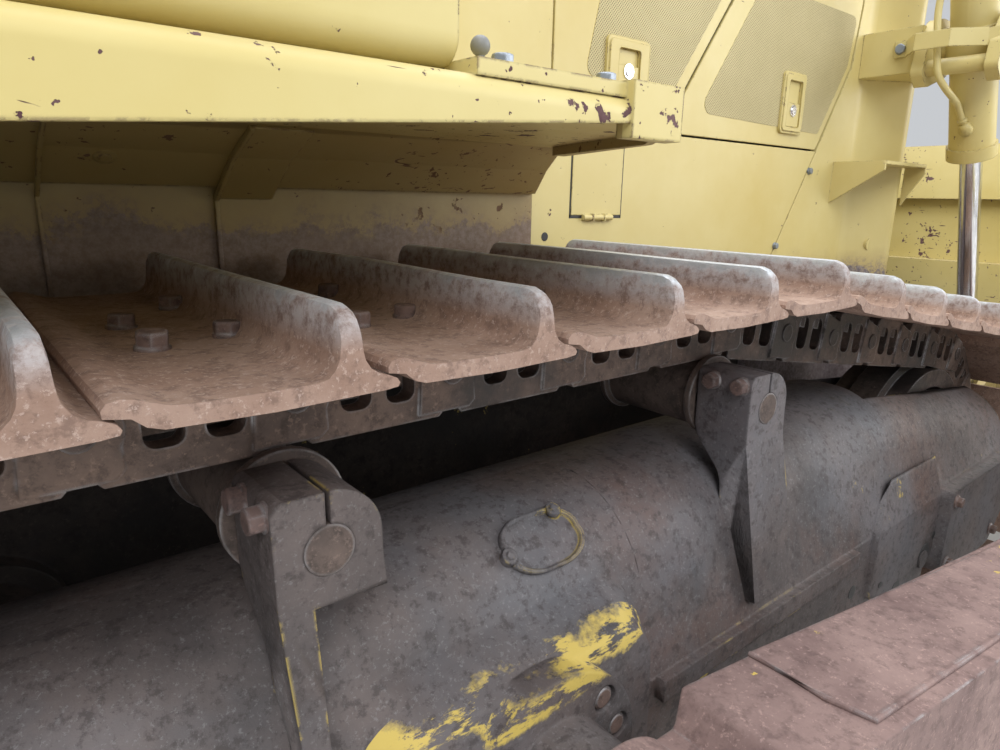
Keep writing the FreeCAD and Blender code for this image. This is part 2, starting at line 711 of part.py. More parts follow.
def pivot_shafts():
    """Shaft from the steering case into the track frame, with its flange, and a round boss ahead of it."""
    x, z = -860.0, 720.0
    hull = size("hood_side_y")
    reach = track_y - size("frame_half") + 80
    shaft = rod_along("PivotShaft", (x, -hull, z), (x, -reach, z), 90)
    flange = rod_along("PivotFlange", (x, -hull, z), (x, -hull - 40, z), 118)
    seated = cut("PivotSeated", fuse("PivotWhole", [shaft, flange]), [nodes["track_frame_right"]])
    return [seated, rod_along("HullBoss", (-290, -size("hull_half"), 955), (-290, -size("hull_half") - 44, 955), 70)]


def equalizer_bar():
    """Rocking beam under the engine that joins the fronts of the track frames."""
    reach = track_y - size("frame_half")
    outline = (
        (-reach, 560, 40), (-reach, 700, 40), (-300, 700, 80), (-150, 640, 60), (150, 640, 60), (300, 700, 80),
        (reach, 700, 40), (reach, 560, 40), (200, 520, 80), (-200, 520, 80),
    )
    return pad("Equalizer", "YZ_Plane", [rounded(outline)], 380, 150)


# Main frame: steering case behind, frame and guard under the engine ahead

def main_frame():
    half, wide = size("hull_half"), size("hood_side_y")
    case = (
        (-2500, 620, 40), (-2380, 480, 40), (-1000, 480, 30), (-900, 560, 30), (-430, 560, 30), (-430, 1480),
        (-2500, 1480, 40),
    )
    rails = (
        (-500, 560), (340, 560), (340, 730), (570, 730), (570, 560), (1700, 560, 60), (2130, 760, 60), (2130, 1120),
        (-500, 1120),
    )
    return fuse("MainCase", [
        pad("SteeringCase", "XZ_Plane", [rounded(case)], -wide, "2 * Sizes.hood_side_y"),
        pad("EngineRails", "XZ_Plane", [rounded(rails)], -half, "2 * Sizes.hull_half"),
    ])


def with_mirror(things):
    """The pieces and their copies on the machine's other side."""
    return things + [mirror(thing.Name + "Copy", thing) for thing in things]


keep("main_frame", fuse("MainFrameWhole", [main_frame()] + with_mirror([final_drive()] + pivot_shafts())))
keep("equalizer_bar", equalizer_bar())


def engine():
    return box("Engine", (120, -330, 1120), (1500, 330, 2060))


keep("engine_block", engine())


# Fenders: apron with a rounded edge, wall inside the track, front cut on a slant

def fender():
    top, out = size("fender_top_z"), fender_out_y
    under = top - size("fender_drop")
    wall = fender_wall_y
    inner = size("hood_side_y")
    section = (
        (-out, under), (-out, top, 22), (-inner, top), (-inner, 1180), (-wall, 1180), (-wall, under - 62, 20),
        (-wall - 125, under, 30),
    )
    name = "Fender"
    body = pad(name, "YZ_Plane", [rounded(section)], size("fender_rear_x"), 2900)
    tip = size("fender_tip_x")
    # Plan of what is cut off in front: (x, y)
    front = (
        (tip, -out - 20), (tip, -out + 5), (tip + 170, -out + 175, 60), (tip + 300, -out + 490, 80),
        (tip + 400, -wall), (tip + 400, -inner + 20), (tip + 900, -inner + 20), (tip + 900, -out - 20),
    )
    shape = sketch_in(body, "XY_Plane", [rounded(front)], 1000)
    pocket = body.newObject("PartDesign::Pocket", name + "Slant")
    pocket.Profile = shape
    pocket.Type = "Length"
    pocket.Length = 800
    pocket.Reversed = True
    body.Tip = pocket
    step = box(name + "Step", (-452, -out + 8, top - 2), (-247, -out + 110, top + 13))
    end = box(name + "End", (tip - 84, -out - 3, under + 12), (tip, -out + 20, top + 15))
    whole = fuse(name + "Whole", [body, step, end])
    # The wall is a thin plate where it stands clear of the steering case
    hollow = box(name + "Hollow", (-425, -wall + 10, 1100), (tip + 500, -inner + 5, top - 16))
    return cut(name + "Plates", whole, [hollow])


both_sides("fender", fender())


def side_box(name, rear, front):
    """Rounded steel box bolted on a fender."""
    body = pad(name, "YZ_Plane", [rounded((
        (-fender_out_y + 32, size("fender_top_z") + 8, 25), (-fender_out_y + 32, size("side_tank_z"), 45),
        (-size("cab_half") - 90, size("side_tank_z"), 45), (-size("cab_half") - 90, size("fender_top_z") + 8, 25),
    ))], rear, front - rear)
    seat = box(name + "Seat", (rear + 30, -fender_out_y + 60, size("fender_top_z")),
               (front - 30, -size("cab_half") - 120, size("fender_top_z") + 12))
    return fuse(name + "Whole", [body, seat])


keep("hydraulic_tank", side_box("HydraulicTank", -1650, -455))
keep("battery_box", mirror("BatteryBox", side_box("BatteryShape", -1650, -455)))


# Fuel tank behind the cab

def fuel_tank():
    rear, top = size("fuel_rear_x"), size("fuel_top_z")
    profile = (
        (rear, 1500, 60), (rear, top - 200, 90), (rear + 160, top, 90), (-1930, top, 50), (-1930, 1500, 30),
    )
    tank = pad("FuelTank", "XZ_Plane", [rounded(profile)], -size("hull_half"), "2 * Sizes.hull_half")
    seat = box("FuelSeat", (-2490, -size("hull_half") + 60, 1480), (-1960, size("hull_half") - 60, 1510))
    return fuse("FuelTankWhole", [tank, seat])


keep("fuel_tank", fuel_tank())


# Hood: top panel with bevelled edges and the lower side panels

seam = ((1470, 1270), (1676, 1600), (1860, 1900), (1890, 2110), (1890, 2185))


def hood_top():
    side, thick = size("hood_side_y"), size("panel_thick")
    top, edge = size("hood_top_z"), size("hood_edge_z")
    bevel = side - 150
    outer = ((-side, edge), (-side, edge + 35, 40), (-bevel, top, 60), (bevel, top, 60), (side, edge + 35, 40), (side, edge))
    inner = ((side - thick, edge), (side - thick, edge + 30, 30), (bevel - 10, top - thick, 50),
             (-bevel + 10, top - thick, 50), (-side + thick, edge + 30, 30), (-side + thick, edge))
    return pad("HoodTop", "YZ_Plane", [rounded(outer + inner)], size("hood_rear_x"),
               seam[-1][0] - size("door_gap") - size("hood_rear_x"))


def lower_panel():
    """Side plate under the engine doors, with the post behind them."""
    gap, thick = size("door_gap"), size("panel_thick")
    rear, foot = size("hood_rear_x"), size("door_foot_z") - gap
    slope = (seam[1][0] - seam[0][0]) / (seam[1][1] - seam[0][1])
    low = 1125.0
    profile = (
        (rear, low), (seam[0][0] + slope * (low - seam[0][1]) - gap, low), (seam[1][0] + slope * (foot - seam[1][1]) - gap, foot),
        (size("door_rear_x") - gap, foot), (size("door_rear_x") - gap, size("hood_edge_z")), (rear, size("hood_edge_z")),
    )
    return pad("LowerPanel", "XZ_Plane", [rounded(profile)], size("hood_side_y") - thick, "Sizes.panel_thick")


def split_x(z):
    """Raked line where the front engine door meets the rear one."""
    return 863 + (z - 1691) * 0.722


def engine_door(name, outline, inset):
    """Pressed skin on a stiffening frame that is set in from the skin's edge."""
    side, skin = size("hood_side_y"), size("door_skin")
    face = pad(name + "Skin", "XZ_Plane", [rounded(outline)], side - skin, "Sizes.door_skin")
    frame = pad(name + "Frame", "XZ_Plane", [rounded(inset)], side - size("door_thick"),
                "Sizes.door_thick - Sizes.door_skin")
    return fuse(name, [face, frame])


door_top = size("hood_edge_z") - size("door_gap")
foot_z, gap = size("door_foot_z"), size("door_gap")
hood_hinges, door_hinges = [], []
for label, x in (("HingeA", 480), ("HingeB", 1060), ("HingeC", 1330), ("HingeD", 1760)):
    still, swings = hinge(label, (x, -door_hinge_y, size("hood_edge_z") - 2), (1, 0, 0), (0, 0, 1), (0, 1, 0), 7, 13, 60)
    hood_hinges.append(still)
    door_hinges.append(swings)
keep("hood", fuse("Hood", [hood_top()] + with_mirror([lower_panel()] + hood_hinges)))
door_back = size("door_rear_x")


def rear_outline(inset, lean):
    low, high = foot_z + inset, door_top - inset
    return ((door_back + inset, low, 12), (split_x(low) - gap - lean, low, 12), (split_x(high) - gap - lean, high),
            (door_back + inset, high))


def front_outline(inset, lean):
    low, high = foot_z + inset, door_top - inset
    edge = [(x - 2 * gap - inset, z) for x, z in seam]
    return ((split_x(low) + gap + lean, low, 12), (edge[1][0], low, 12), (edge[2][0], edge[2][1], 60),
            (edge[3][0], edge[3][1] - inset, 60), (edge[4][0], high), (split_x(high) + gap + lean, high))


both_sides("engine_door_rear", fuse("DoorRearWhole", [
    engine_door("DoorRear", rear_outline(0, 0), rear_outline(24, 40))] + door_hinges[:2]))
both_sides("engine_door_front", fuse("DoorFrontWhole", [
    engine_door("DoorFront", front_outline(0, 0), front_outline(24, 40))] + door_hinges[2:]))


# Radiator guard: side plates that flare to the front corners, front frame and roof

def radiator_guard():
    thick, side = size("panel_thick"), size("hood_side_y")
    front, flare = size("guard_front_x"), size("guard_flare_y")
    foot, top = size("guard_foot_z"), size("hood_top_z")
    rear = seam[0][0] - 120
    plan = (
        (rear, -side), (1960, -side, 80), (front - 60, -flare, 40), (front, -flare + 40, 20), (front, flare - 40, 20),
        (front - 60, flare, 40), (1960, side, 80), (rear, side), (rear, side - thick), (1950, side - thick, 60),
        (front - 90, flare - 60, 20), (front - 60, flare - 90, 20), (front - 60, -flare + 90, 20),
        (front - 90, -flare + 60, 20), (1950, -side + thick, 60), (rear, -side + thick),
    )
    walls = pad("GuardWalls", "XY_Plane", [rounded(plan)], foot, top - 20 - foot)
    # What is cut away behind the seam: (x, z)
    behind = [(x, z) for x, z in seam]
    behind = [(rear - 50, foot - 10), (seam[0][0] - 190, foot - 10), (seam[0][0] - 92, 1122)] + behind
    behind += [(seam[-1][0], top + 10), (rear - 50, top + 10)]
    back = pad("GuardBack", "XZ_Plane", [rounded(behind)], -900, 1800)
    window = box("GuardWindow", (front - 100, -520, 860), (front + 20, 520, top - 150))
    shaped = cut("GuardShaped", walls, [back, window])
    roof_plan = (
        (seam[-1][0], -side + 150), (1960, -side + 120, 80), (front - 60, -flare, 40), (front, -flare + 40, 20),
        (front, flare - 40, 20), (front - 60, flare, 40), (1960, side - 120, 80), (seam[-1][0], side - 150),
    )
    roof = pad("GuardRoof", "XY_Plane", [rounded(roof_plan)], top - thick, "Sizes.panel_thick")
    return fuse("Guard", [shaped, roof])


def grille():
    """Vertical bars in a frame, seated in the guard's window."""
    front, top = size("guard_front_x"), size("hood_top_z")
    x0, x1 = front - 50, front - 20
    low, high = 860.0, top - 150
    frame = cut("GrilleFrame", box("GrilleOuter", (x0, -520, low), (x1, 520, high)),
                [box("GrilleHole", (x0 - 5, -470, low + 50), (x1 + 5, 470, high - 50))])
    pieces = [frame]
    bars = 15
    for i in range(1, bars):
        y = -470 + 940.0 * i / bars
        pieces.append(box("Bar%d" % i, (x0 + 2, y - 9, low + 45), (x1 - 2, y + 9, high - 45)))
    return fuse("Grille", pieces)


keep("front_grille", grille())
keep("radiator", box("Radiator", (1960, -500, 1120), (2080, 500, 2200)))


# Cab: six-sided shell with a door opening on each side

def cab_plan(inset):
    """Half outline of the cab from rear to front, drawn in by the inset: (x, y)."""
    return (
        (size("cab_rear_x") + inset, size("cab_tail_half") - inset * 0.7),
        (size("cab_side_rear_x") + inset * 0.35, size("cab_half") - inset),
        (size("cab_side_front_x") - inset * 0.25, size("cab_half") - inset),
        (size("cab_front_x") - inset, size("cab_nose_half") - inset * 0.8),
    )


def closed_plan(inset):
    half = cab_plan(inset)
    return [(x, -y) for x, y in half] + [(x, y) for x, y in reversed(half)]


def cab():
    wall, floor, roof = size("cab_wall"), size("cab_floor_z"), size("cab_roof_z")
    base = size("fender_top_z")
    shell = pad("CabOuter", "XY_Plane", [rounded(closed_plan(0))], base, roof - base)
    room = pad("CabRoom", "XY_Plane", [rounded(closed_plan(wall))], floor, roof - floor + 10)
    tools = [room]
    rear, front = size("cab_side_rear_x") + 60, size("cab_side_front_x") - 40
    sill, lintel = size("sill_z"), size("lintel_z")
    beyond = size("cab_half") + 60
    tools.append(box("DoorWay", (rear, -beyond, sill), (front, beyond, lintel)))
    tools.append(box("FrontWindow", (size("cab_front_x") - 80, -size("cab_nose_half") + 90, sill + 60),
                     (size("cab_front_x") + 20, size("cab_nose_half") - 90, lintel)))
    tools.append(box("RearWindow", (size("cab_rear_x") - 20, -size("cab_tail_half") + 110, 2240),
                     (size("cab_rear_x") + 80, size("cab_tail_half") - 110, lintel)))
    for side in (-1, 1):
        name = "Right" if side < 0 else "Left"
        tools.append(corner_box("CornerWindow" + name, side, sill + 60, lintel, 200, -60))
    return cut("Cab", shell, tools)


def corner_box(name, side, low, high, depth, setback):
    """Box that lies along the slanted wall between a door and the front."""
    half = cab_plan(0)
    start = Vector(half[2][0], side * half[2][1], 0)
    run = Vector(half[3][0], side * half[3][1], 0) - start
    ahead = Vector(run).normalize()
    inward = Vector(ahead.y, -ahead.x, 0) * side
    margin = 90
    thing = doc.addObject("Part::Box", name)
    thing.Length = run.Length - 2 * margin
    thing.Width = depth
    thing.Height = high - low
    origin = start + ahead * margin + inward * (setback if side < 0 else setback + depth)
    thing.Placement = Placement(Vector(origin.x, origin.y, low), Rotation(Vector(1, 0, 0), ahead))
    return thing


cab_hinges, leaf_hinges = [], []
for label, z in (("CabHingeA", 2080), ("CabHingeB", 2860)):
    still, swings = hinge(label, (size("cab_hinge_x"), -cab_hinge_y, z), (0, 0, 1), (-1, 0, 0), (0, 1, 0), 8, 14, 70)
    cab_hinges.append(still)
    leaf_hinges.append(swings)
keep("cab_shell", fuse("CabWhole", [cab()] + with_mirror(cab_hinges)))


def cab_roof():
    plan = [(x, y) for x, y in closed_plan(-35)]
    plan = [(x, y, 60) for x, y in plan]
    return pad("CabRoof", "XY_Plane", [rounded(plan)], size("cab_roof_z"), "Sizes.roof_thick")


keep("cab_roof", cab_roof())


def cab_door():
    """Door leaf with a tall window."""
    gap = size("door_gap")
    rear, front = size("cab_side_rear_x") + 60 + gap, size("cab_side_front_x") - 40 - gap
    sill, lintel = size("sill_z") + gap, size("lintel_z") - gap
    outer = ((rear, sill, 40), (front, sill, 60), (front, lintel, 40), (rear, lintel, 40))
    inner = ((rear + 70, sill + 90, 60), (front - 70, sill + 90, 60), (front - 70, lintel - 70, 60),
             (rear + 70, lintel - 70, 60))
    start = size("cab_half") - size("cab_wall")
    return pad("CabDoor", "XZ_Plane", [rounded(outer), rounded(inner)], start, "Sizes.cab_wall")


both_sides("cab_door", fuse("CabDoorWhole", [cab_door()] + leaf_hinges))


def door_glass():
    gap = size("door_gap")
    rear, front = size("cab_side_rear_x") + 130 + gap, size("cab_side_front_x") - 110 - gap
    sill, lintel = size("sill_z") + gap + 90, size("lintel_z") - gap - 70
    outer = ((rear, sill, 60), (front, sill, 60), (front, lintel, 60), (rear, lintel, 60))
    start = size("cab_half") - size("cab_wall") / 2 - size("glass_thick") / 2
    return pad("DoorGlass", "XZ_Plane", [rounded(outer)], start, "Sizes.glass_thick")


both_sides("door_glass", door_glass())


def cab_glass():
    """Fixed panes: front, rear and the two slanted corners."""
    sill, lintel = size("sill_z") + 60, size("lintel_z")
    mid, thick = size("cab_wall") / 2, size("glass_thick")
    front = size("cab_front_x") - mid - thick / 2
    rear = size("cab_rear_x") + mid - thick / 2
    panes = [
        box("FrontPane", (front, -size("cab_nose_half") + 90, sill), (front + thick, size("cab_nose_half") - 90, lintel)),
        box("RearPane", (rear, -size("cab_tail_half") + 110, 2240), (rear + thick, size("cab_tail_half") - 110, lintel)),
    ]
    for side in (-1, 1):
        name = "CornerPane" + ("Right" if side < 0 else "Left")
        panes.append(corner_box(name, side, sill, lintel, thick, mid - thick / 2))
    return group("CabGlass", panes)


keep("cab_glass", cab_glass())


# Roll-over bar: two posts on the fenders and a beam over the roof

def rollover_bar():
    x0, x1 = -1850.0, -1720.0
    inner, outer = size("cab_half") + 40, size("cab_half") + 160
    top = size("cab_roof_z") + size("roof_thick") + 10
    plan = (
        (-outer, size("fender_top_z")), (-inner, size("fender_top_z")), (-inner, top), (inner, top),
        (inner, size("fender_top_z")), (outer, size("fender_top_z")), (outer, top + 130, 90), (-outer, top + 130, 90),
    )
    return pad("RolloverBar", "YZ_Plane", [rounded(plan)], x0, x1 - x0)


keep("rollover_bar", rollover_bar())


# Operator's place: seat, consoles and dash

def seat():
    floor = size("cab_floor_z")
    x = -1300.0
    base = box("SeatBase", (x - 180, -200, floor), (x + 200, 200, floor + 300))
    cushion = pad("SeatCushion", "XZ_Plane", [rounded(((x - 300, floor + 300, 30), (x + 270, floor + 300, 40),
                                                     (x + 270, floor + 430, 50), (x - 300, floor + 415, 30)))], -250, 500)
    back = pad("SeatBack", "XZ_Plane", [rounded(((x - 330, floor + 400, 40), (x - 200, floor + 405, 40),
                                              (x - 280, floor + 1060, 50), (x - 400, floor + 1050, 50)))], -240, 480)
    return fuse("Seat", [base, cushion, back])


keep("operator_seat", seat())


def consoles():
    floor = size("cab_floor_z")
    pieces = []
    for side in (-1, 1):
        y0, y1 = sorted((side * 300, side * 460))
        pieces.append(box("Console%d" % (side + 1), (-1450, y0, floor), (-950, y1, floor + 560)))
    dash = pad("Dash", "XZ_Plane", [rounded(((-560, floor, 10), (-490, floor, 10), (-490, floor + 330, 30),
                                            (-640, floor + 420, 30), (-640, floor + 330, 20)))], -330, 660)
    return group("Consoles", pieces + [dash])


keep("consoles", consoles())


# Exhaust stack and air cleaner on the hood

def exhaust():
    top = size("hood_top_z")
    base = rod_along("ExhaustBase", (900, 180, top), (900, 180, top + 340), 120)
    pipe = rod_along("ExhaustPipe", (900, 180, top + 340), (900, 180, top + 760), 62)
    return fuse("Exhaust", [base, pipe])


keep("exhaust_stack", exhaust())


def air_cleaner():
    top = size("hood_top_z")
    stem = rod_along("CleanerStem", (380, -230, top), (380, -230, top + 190), 95)
    bowl = rod_along("CleanerBowl", (380, -230, top + 190), (380, -230, top + 420), 150)
    return fuse("AirCleaner", [stem, bowl])


keep("air_cleaner", air_cleaner())


# Drawbar at the rear, with the hole of the towing pin

def drawbar():
    rear = size("rear_end_x")
    ears = []
    for low in (560.0, 690.0):
        ears.append(pad("Ear%d" % low, "XY_Plane", [rounded(((rear, -110, 100), (rear, 110, 100), (-2500, 190), (-2500, -190)))],
                        low, 60))
    web = box("DrawbarWeb", (-2760, -150, 600), (-2500, 150, 710))
    whole = fuse("DrawbarWhole", ears + [web])
    hole = rod_along("PinHole", (rear + 110, 0, 500), (rear + 110, 0, 800), "Sizes.drawbar_hole")
    return cut("Drawbar", whole, [hole])


keep("drawbar", drawbar())


# Push arms: box beams from the track frames to the blade

def push_arm():
    back_x, back_z = size("arm_pivot_x"), size("arm_pivot_z")
    tip_x, tip_z = size("blade_pin_x"), size("blade_pin_z")
    half = size("arm_high") / 2
    slope = (tip_z - back_z) / (tip_x - back_x)

    def mid(x):
        return back_z + slope * (x - back_x)

    side = (
        (back_x, back_z - 105), (back_x + 115, back_z - 105), (back_x + 150, mid(back_x + 150) - half, 20),
        (tip_x - 330, mid(tip_x - 330) - half, 40), (tip_x - 60, tip_z - 105, 50), (tip_x + 105, tip_z - 105, 100),
        (tip_x + 105, tip_z + 105, 100), (tip_x - 60, tip_z + 105, 50), (tip_x - 330, mid(tip_x - 330) + half, 40),
        (back_x + 150, mid(back_x + 150) + half, 20), (back_x + 115, back_z + 100), (back_x, back_z + 105),
    )
    wide, neck = size("arm_wide") / 2, size("arm_eye_wide") / 2 - 5
    near, far, splay = arm_y, arm_front_y, size("arm_splay")
    eye = 70.0
    plan = (
        (back_x, -near - neck), (back_x + 120, -near - neck), (back_x + 150, -near - wide - 150 * splay),
        (tip_x - 340, -far - wide + 340 * splay), (tip_x - 150, -far - eye), (tip_x + 200, -far - eye),
        (tip_x + 200, -far + eye), (tip_x - 150, -far + eye), (tip_x - 340, -far + wide + 340 * splay),
        (back_x + 150, -near + wide - 150 * splay), (back_x + 120, -near + neck), (back_x, -near + neck),
    )
    box_beam = common("ArmBox", pad("ArmSide", "XZ_Plane", [rounded(side)], 1300, 700),
                      pad("ArmPlan", "XY_Plane", [rounded(plan)], 0, 1200))
    reach = size("arm_eye_wide") / 2
    beam = fuse("ArmBeam", [box_beam, rod_along("ArmEye", (back_x, -near + reach, back_z), (back_x, -near - reach, back_z),
                                                "Sizes.arm_eye")])
    foot_x, foot_z = size("tilt_base_x"), size("tilt_base_z")
    ears = []
    for name, y in (("In", tilt_y - 75), ("Out", tilt_y + 45)):
        ears.append(pad("TiltEar" + name, "XZ_Plane", [rounded((
            (foot_x - 130, mid(foot_x) + half - 20), (foot_x + 150, mid(foot_x) + half - 40),
            (foot_x + 65, foot_z + 65, 60), (foot_x - 65, foot_z + 65, 60)))], y, 30))
    pin = rod_along("TiltFootPin", (foot_x, -tilt_y + 76, foot_z), (foot_x, -tilt_y - 76, foot_z),
                    "Sizes.tilt_pin")
    bores = [
        rod_along("ArmBackBore", (back_x, -1300, back_z), (back_x, -1800, back_z), "Sizes.arm_shaft + Sizes.running_gap"),
        rod_along("ArmTipBore", (tip_x, -1500, tip_z), (tip_x, -2000, tip_z), "Sizes.blade_pin + Sizes.running_gap"),
    ]
    return fuse("PushArm", [cut("ArmBored", beam, bores)] + ears + [pin])


both_sides("push_arm", push_arm())


def cross_arms():
    """Slanting braces from both arms to an eye at the middle of the blade."""
    tip_x, tip_z = size("blade_pin_x"), size("blade_pin_z")
    root_x, neck_x = 2230.0, 2540.0
    pieces = [
        rod_along("CentreEye", (tip_x, -85, tip_z), (tip_x, 85, tip_z), 80),
        box("CentreNeck", (neck_x - 110, -85, tip_z - 60), (tip_x - 60, 85, tip_z + 60)),
    ]
    reach = arm_y + size("arm_splay") * (root_x - size("arm_pivot_x"))
    for side in (-1, 1):
        plan = (
            (root_x - 80, side * reach), (root_x + 80, side * reach), (neck_x, side * 80), (neck_x, side * 40),
            (neck_x - 110, side * 40), (neck_x - 120, side * 75),
        )
        brace = pad("Brace%d" % (side + 1), "XY_Plane", [rounded(plan)], tip_z - 60, 120)
        pieces.append(brace)
    bore = rod_along("CentreBore", (tip_x, -100, tip_z), (tip_x, 100, tip_z), "Sizes.blade_pin + Sizes.running_gap")
    return cut("CrossArms", fuse("CrossArmsWhole", pieces), [bore, nodes["push_arm_right"], nodes["push_arm_left"]])


keep("cross_arms", cross_arms())


# Blade: curved face with angled ends, stiffeners and lugs behind it

def face_circle():
    """Centre and radius of the face's curve, from its chord and depth."""
    top = Vector(size("blade_top_x"), size("blade_top_z"), 0)
    foot = Vector(size("blade_foot_x"), size("blade_foot_z"), 0)
    chord = top - foot
    depth = size("blade_hollow")
    radius = (chord.Length ** 2 / 4 + depth ** 2) / (2 * depth)
    ahead = Vector(chord.y, -chord.x, 0).normalize()
    return (top + foot) * 0.5 + ahead * (radius - depth), radius


face_centre, face_radius = face_circle()


def face_x(z, back=0.0):
    """Face of the blade at a height, or a surface that far behind it."""
    return face_centre.x - math.sqrt((face_radius + back) ** 2 - (z - face_centre.y) ** 2)


def sweep_at(y):
    """Forward shift of the angled ends."""
    half, straight = blade_half, blade_straight
    return max(0.0, abs(y) - straight) / (half - straight) * size("blade_sweep")


def blade_section(y, low, high, front, back):
    """Curved strip between two surfaces behind the face, as a wire at y."""
    shift = sweep_at(y)
    middle = (low + high) / 2

    def at(z, depth):
        return Vector(face_x(z, depth) + shift, y, z)

    edges = [
        Part.LineSegment(at(low, front), at(low, back)).toShape(),
        Part.Arc(at(low, back), at(middle, back), at(high, back)).toShape(),
        Part.LineSegment(at(high, back), at(high, front)).toShape(),
        Part.Arc(at(high, front), at(middle, front), at(low, front)).toShape(),
    ]
    return Part.Wire(edges)


def blade_band(low, high, front, back, stations):
    """Curved band lofted through stations across the blade."""
    solids = []
    for y0, y1 in zip(stations[:-1], stations[1:]):
        ends = [blade_section(y, low, high, front, back) for y in (y0, y1)]
        solids.append(Part.makeLoft(ends, True, True))
    return solids


def blade():
    half, straight = blade_half, blade_straight
    skin = size("blade_skin")
    stations = (-half, -straight, straight, half)
    solids = blade_band(size("blade_foot_z"), size("blade_top_z"), 0, skin, stations)
    for low, high, depth in ((1450, size("blade_top_z"), 85), (250, 1180, 100)):
        solids += blade_band(low, high, skin - 4, depth, (-half + 20, -straight, straight, half - 20))
    whole = solids[0].fuse(solids[1:])
    panel = doc.addObject("Part::Feature", "BladePlates")
    panel.Shape = whole.removeSplitter()
    back, end = 2745.0, 1880.0
    beam = pad("LowerBeam", "XY_Plane", [rounded((
        (back, -straight), (back + 135, -end), (back + 235, -end), (back + 155, -straight), (back + 155, straight),
        (back + 235, end), (back + 135, end), (back, straight)))], 262, 284)
    return fuse("Blade", [panel, beam])


def blade_lugs():
    """Ears behind the blade: at the arms with their pins, at both cylinders open for the rods' eyes."""
    eye = 70.0 + size("side_gap")
    centre = 92.0
    pin_x, pin_z = size("blade_pin_x"), size("blade_pin_z")
    tilt_x, tilt_z = size("tilt_eye_x"), size("tilt_eye_z")
    lift_x, lift_z = size("lift_eye_x"), size("lift_eye_z")
    plates = nodes["blade"]

    def ear(name, y, x, z, reach, tall, thick):
        """Rounded ear from the blade's back to the pin, its right face at y on the right side."""
        root_x = face_x(z) + sweep_at(y) - 10
        outline = ((x - reach, z - reach, reach * 0.9), (root_x, z - tall), (root_x, z + tall),
                   (x - reach, z + reach, reach * 0.9))
        return pad(name, "XZ_Plane", [rounded(outline)], y, thick)

    def pair(name, y, half, x, z, reach, tall, thick):
        return [ear(name + "In", y - half - thick, x, z, reach, tall, thick),
                ear(name + "Out", y + half, x, z, reach, tall, thick)]

    arm = pair("ArmEar", arm_front_y, eye, pin_x, pin_z, 105, 120, 36)
    arm.append(rod_along("ArmPin", (pin_x, -arm_front_y + eye + 48, pin_z), (pin_x, -arm_front_y - eye - 48, pin_z),
                         "Sizes.blade_pin"))
    middle = [ear("CentreEar", centre, pin_x, pin_z, 80, 130, 36)]
    middle += [mirror("CentreEarCopy", middle[0])]
    middle.append(rod_along("CentrePin", (pin_x, -centre - 48, pin_z), (pin_x, centre + 48, pin_z), "Sizes.blade_pin"))
    rods = pair("TiltEar", tilt_y, 52, tilt_x, tilt_z, 75, 130, 30)
    rods += pair("LiftEar", size("lift_y"), 52, lift_x, lift_z, 80, 150, 30)
    right = [cut("ArmFork", fuse("ArmForkWhole", arm), [plates])]
    right += [cut(ear_piece.Name + "Seated", ear_piece, [plates]) for ear_piece in rods]
    return group("BladeLugs", with_mirror(right) + [cut("CentreFork", fuse("CentreForkWhole", middle), [plates])])


keep("blade", blade())
keep("blade_lugs", blade_lugs())


def cutting_edge():
    """Bolted edge along the foot of the blade, one slab to each straight stretch."""
    half, straight = blade_half, blade_straight
    foot_x, foot_z = size("blade_foot_x"), size("blade_foot_z")
    tip_x, thick = size("blade_edge_x"), size("edge_thick")
    slabs = []
    for y0, y1 in ((-half, -straight), (-straight, straight), (straight, half)):
        ends = []
        for y in (y0, y1):
            shift = sweep_at(y)
            points = ((face_x(foot_z + 60) - 6, foot_z + 60), (foot_x + thick, foot_z + 50), (tip_x, 0),
                      (tip_x - thick, 0), (foot_x - 20, foot_z))
            wire = Part.makePolygon([Vector(x + shift, y, z) for x, z in points + points[:1]])
            ends.append(wire)
        slabs.append(Part.makeLoft(ends, True, True))
    feature = doc.addObject("Part::Feature", "EdgePlates")
    feature.Shape = slabs[0].fuse(slabs[1:]).removeSplitter()
    return cut("CuttingEdge", feature, [nodes["blade"]])


keep("cutting_edge", cutting_edge())


# Cylinders: barrel with a bore, rod with its eye and piston

def along(base, tip, distance):
    """Point on the line from base towards tip, at a distance from base: (x, z)."""
    run = Vector(tip[0] - base[0], tip[1] - base[1], 0)
    reach = Vector(base[0], base[1], 0) + run.normalize() * distance
    return reach.x, reach.y


def bar(name, base, tip, y, start, end, radius):
    """Round bar on the cylinder's line between two distances from its base."""
    x0, z0 = along(base, tip, start)
    x1, z1 = along(base, tip, end)
    return rod_along(name, (x0, -y, z0), (x1, -y, z1), radius)


lift_top = (size("lift_top_x"), size("lift_top_z"))
lift_eye = (size("lift_eye_x"), size("lift_eye_z"))
tilt_foot = (size("tilt_base_x"), size("tilt_base_z"))
tilt_eye = (size("tilt_eye_x"), size("tilt_eye_z"))


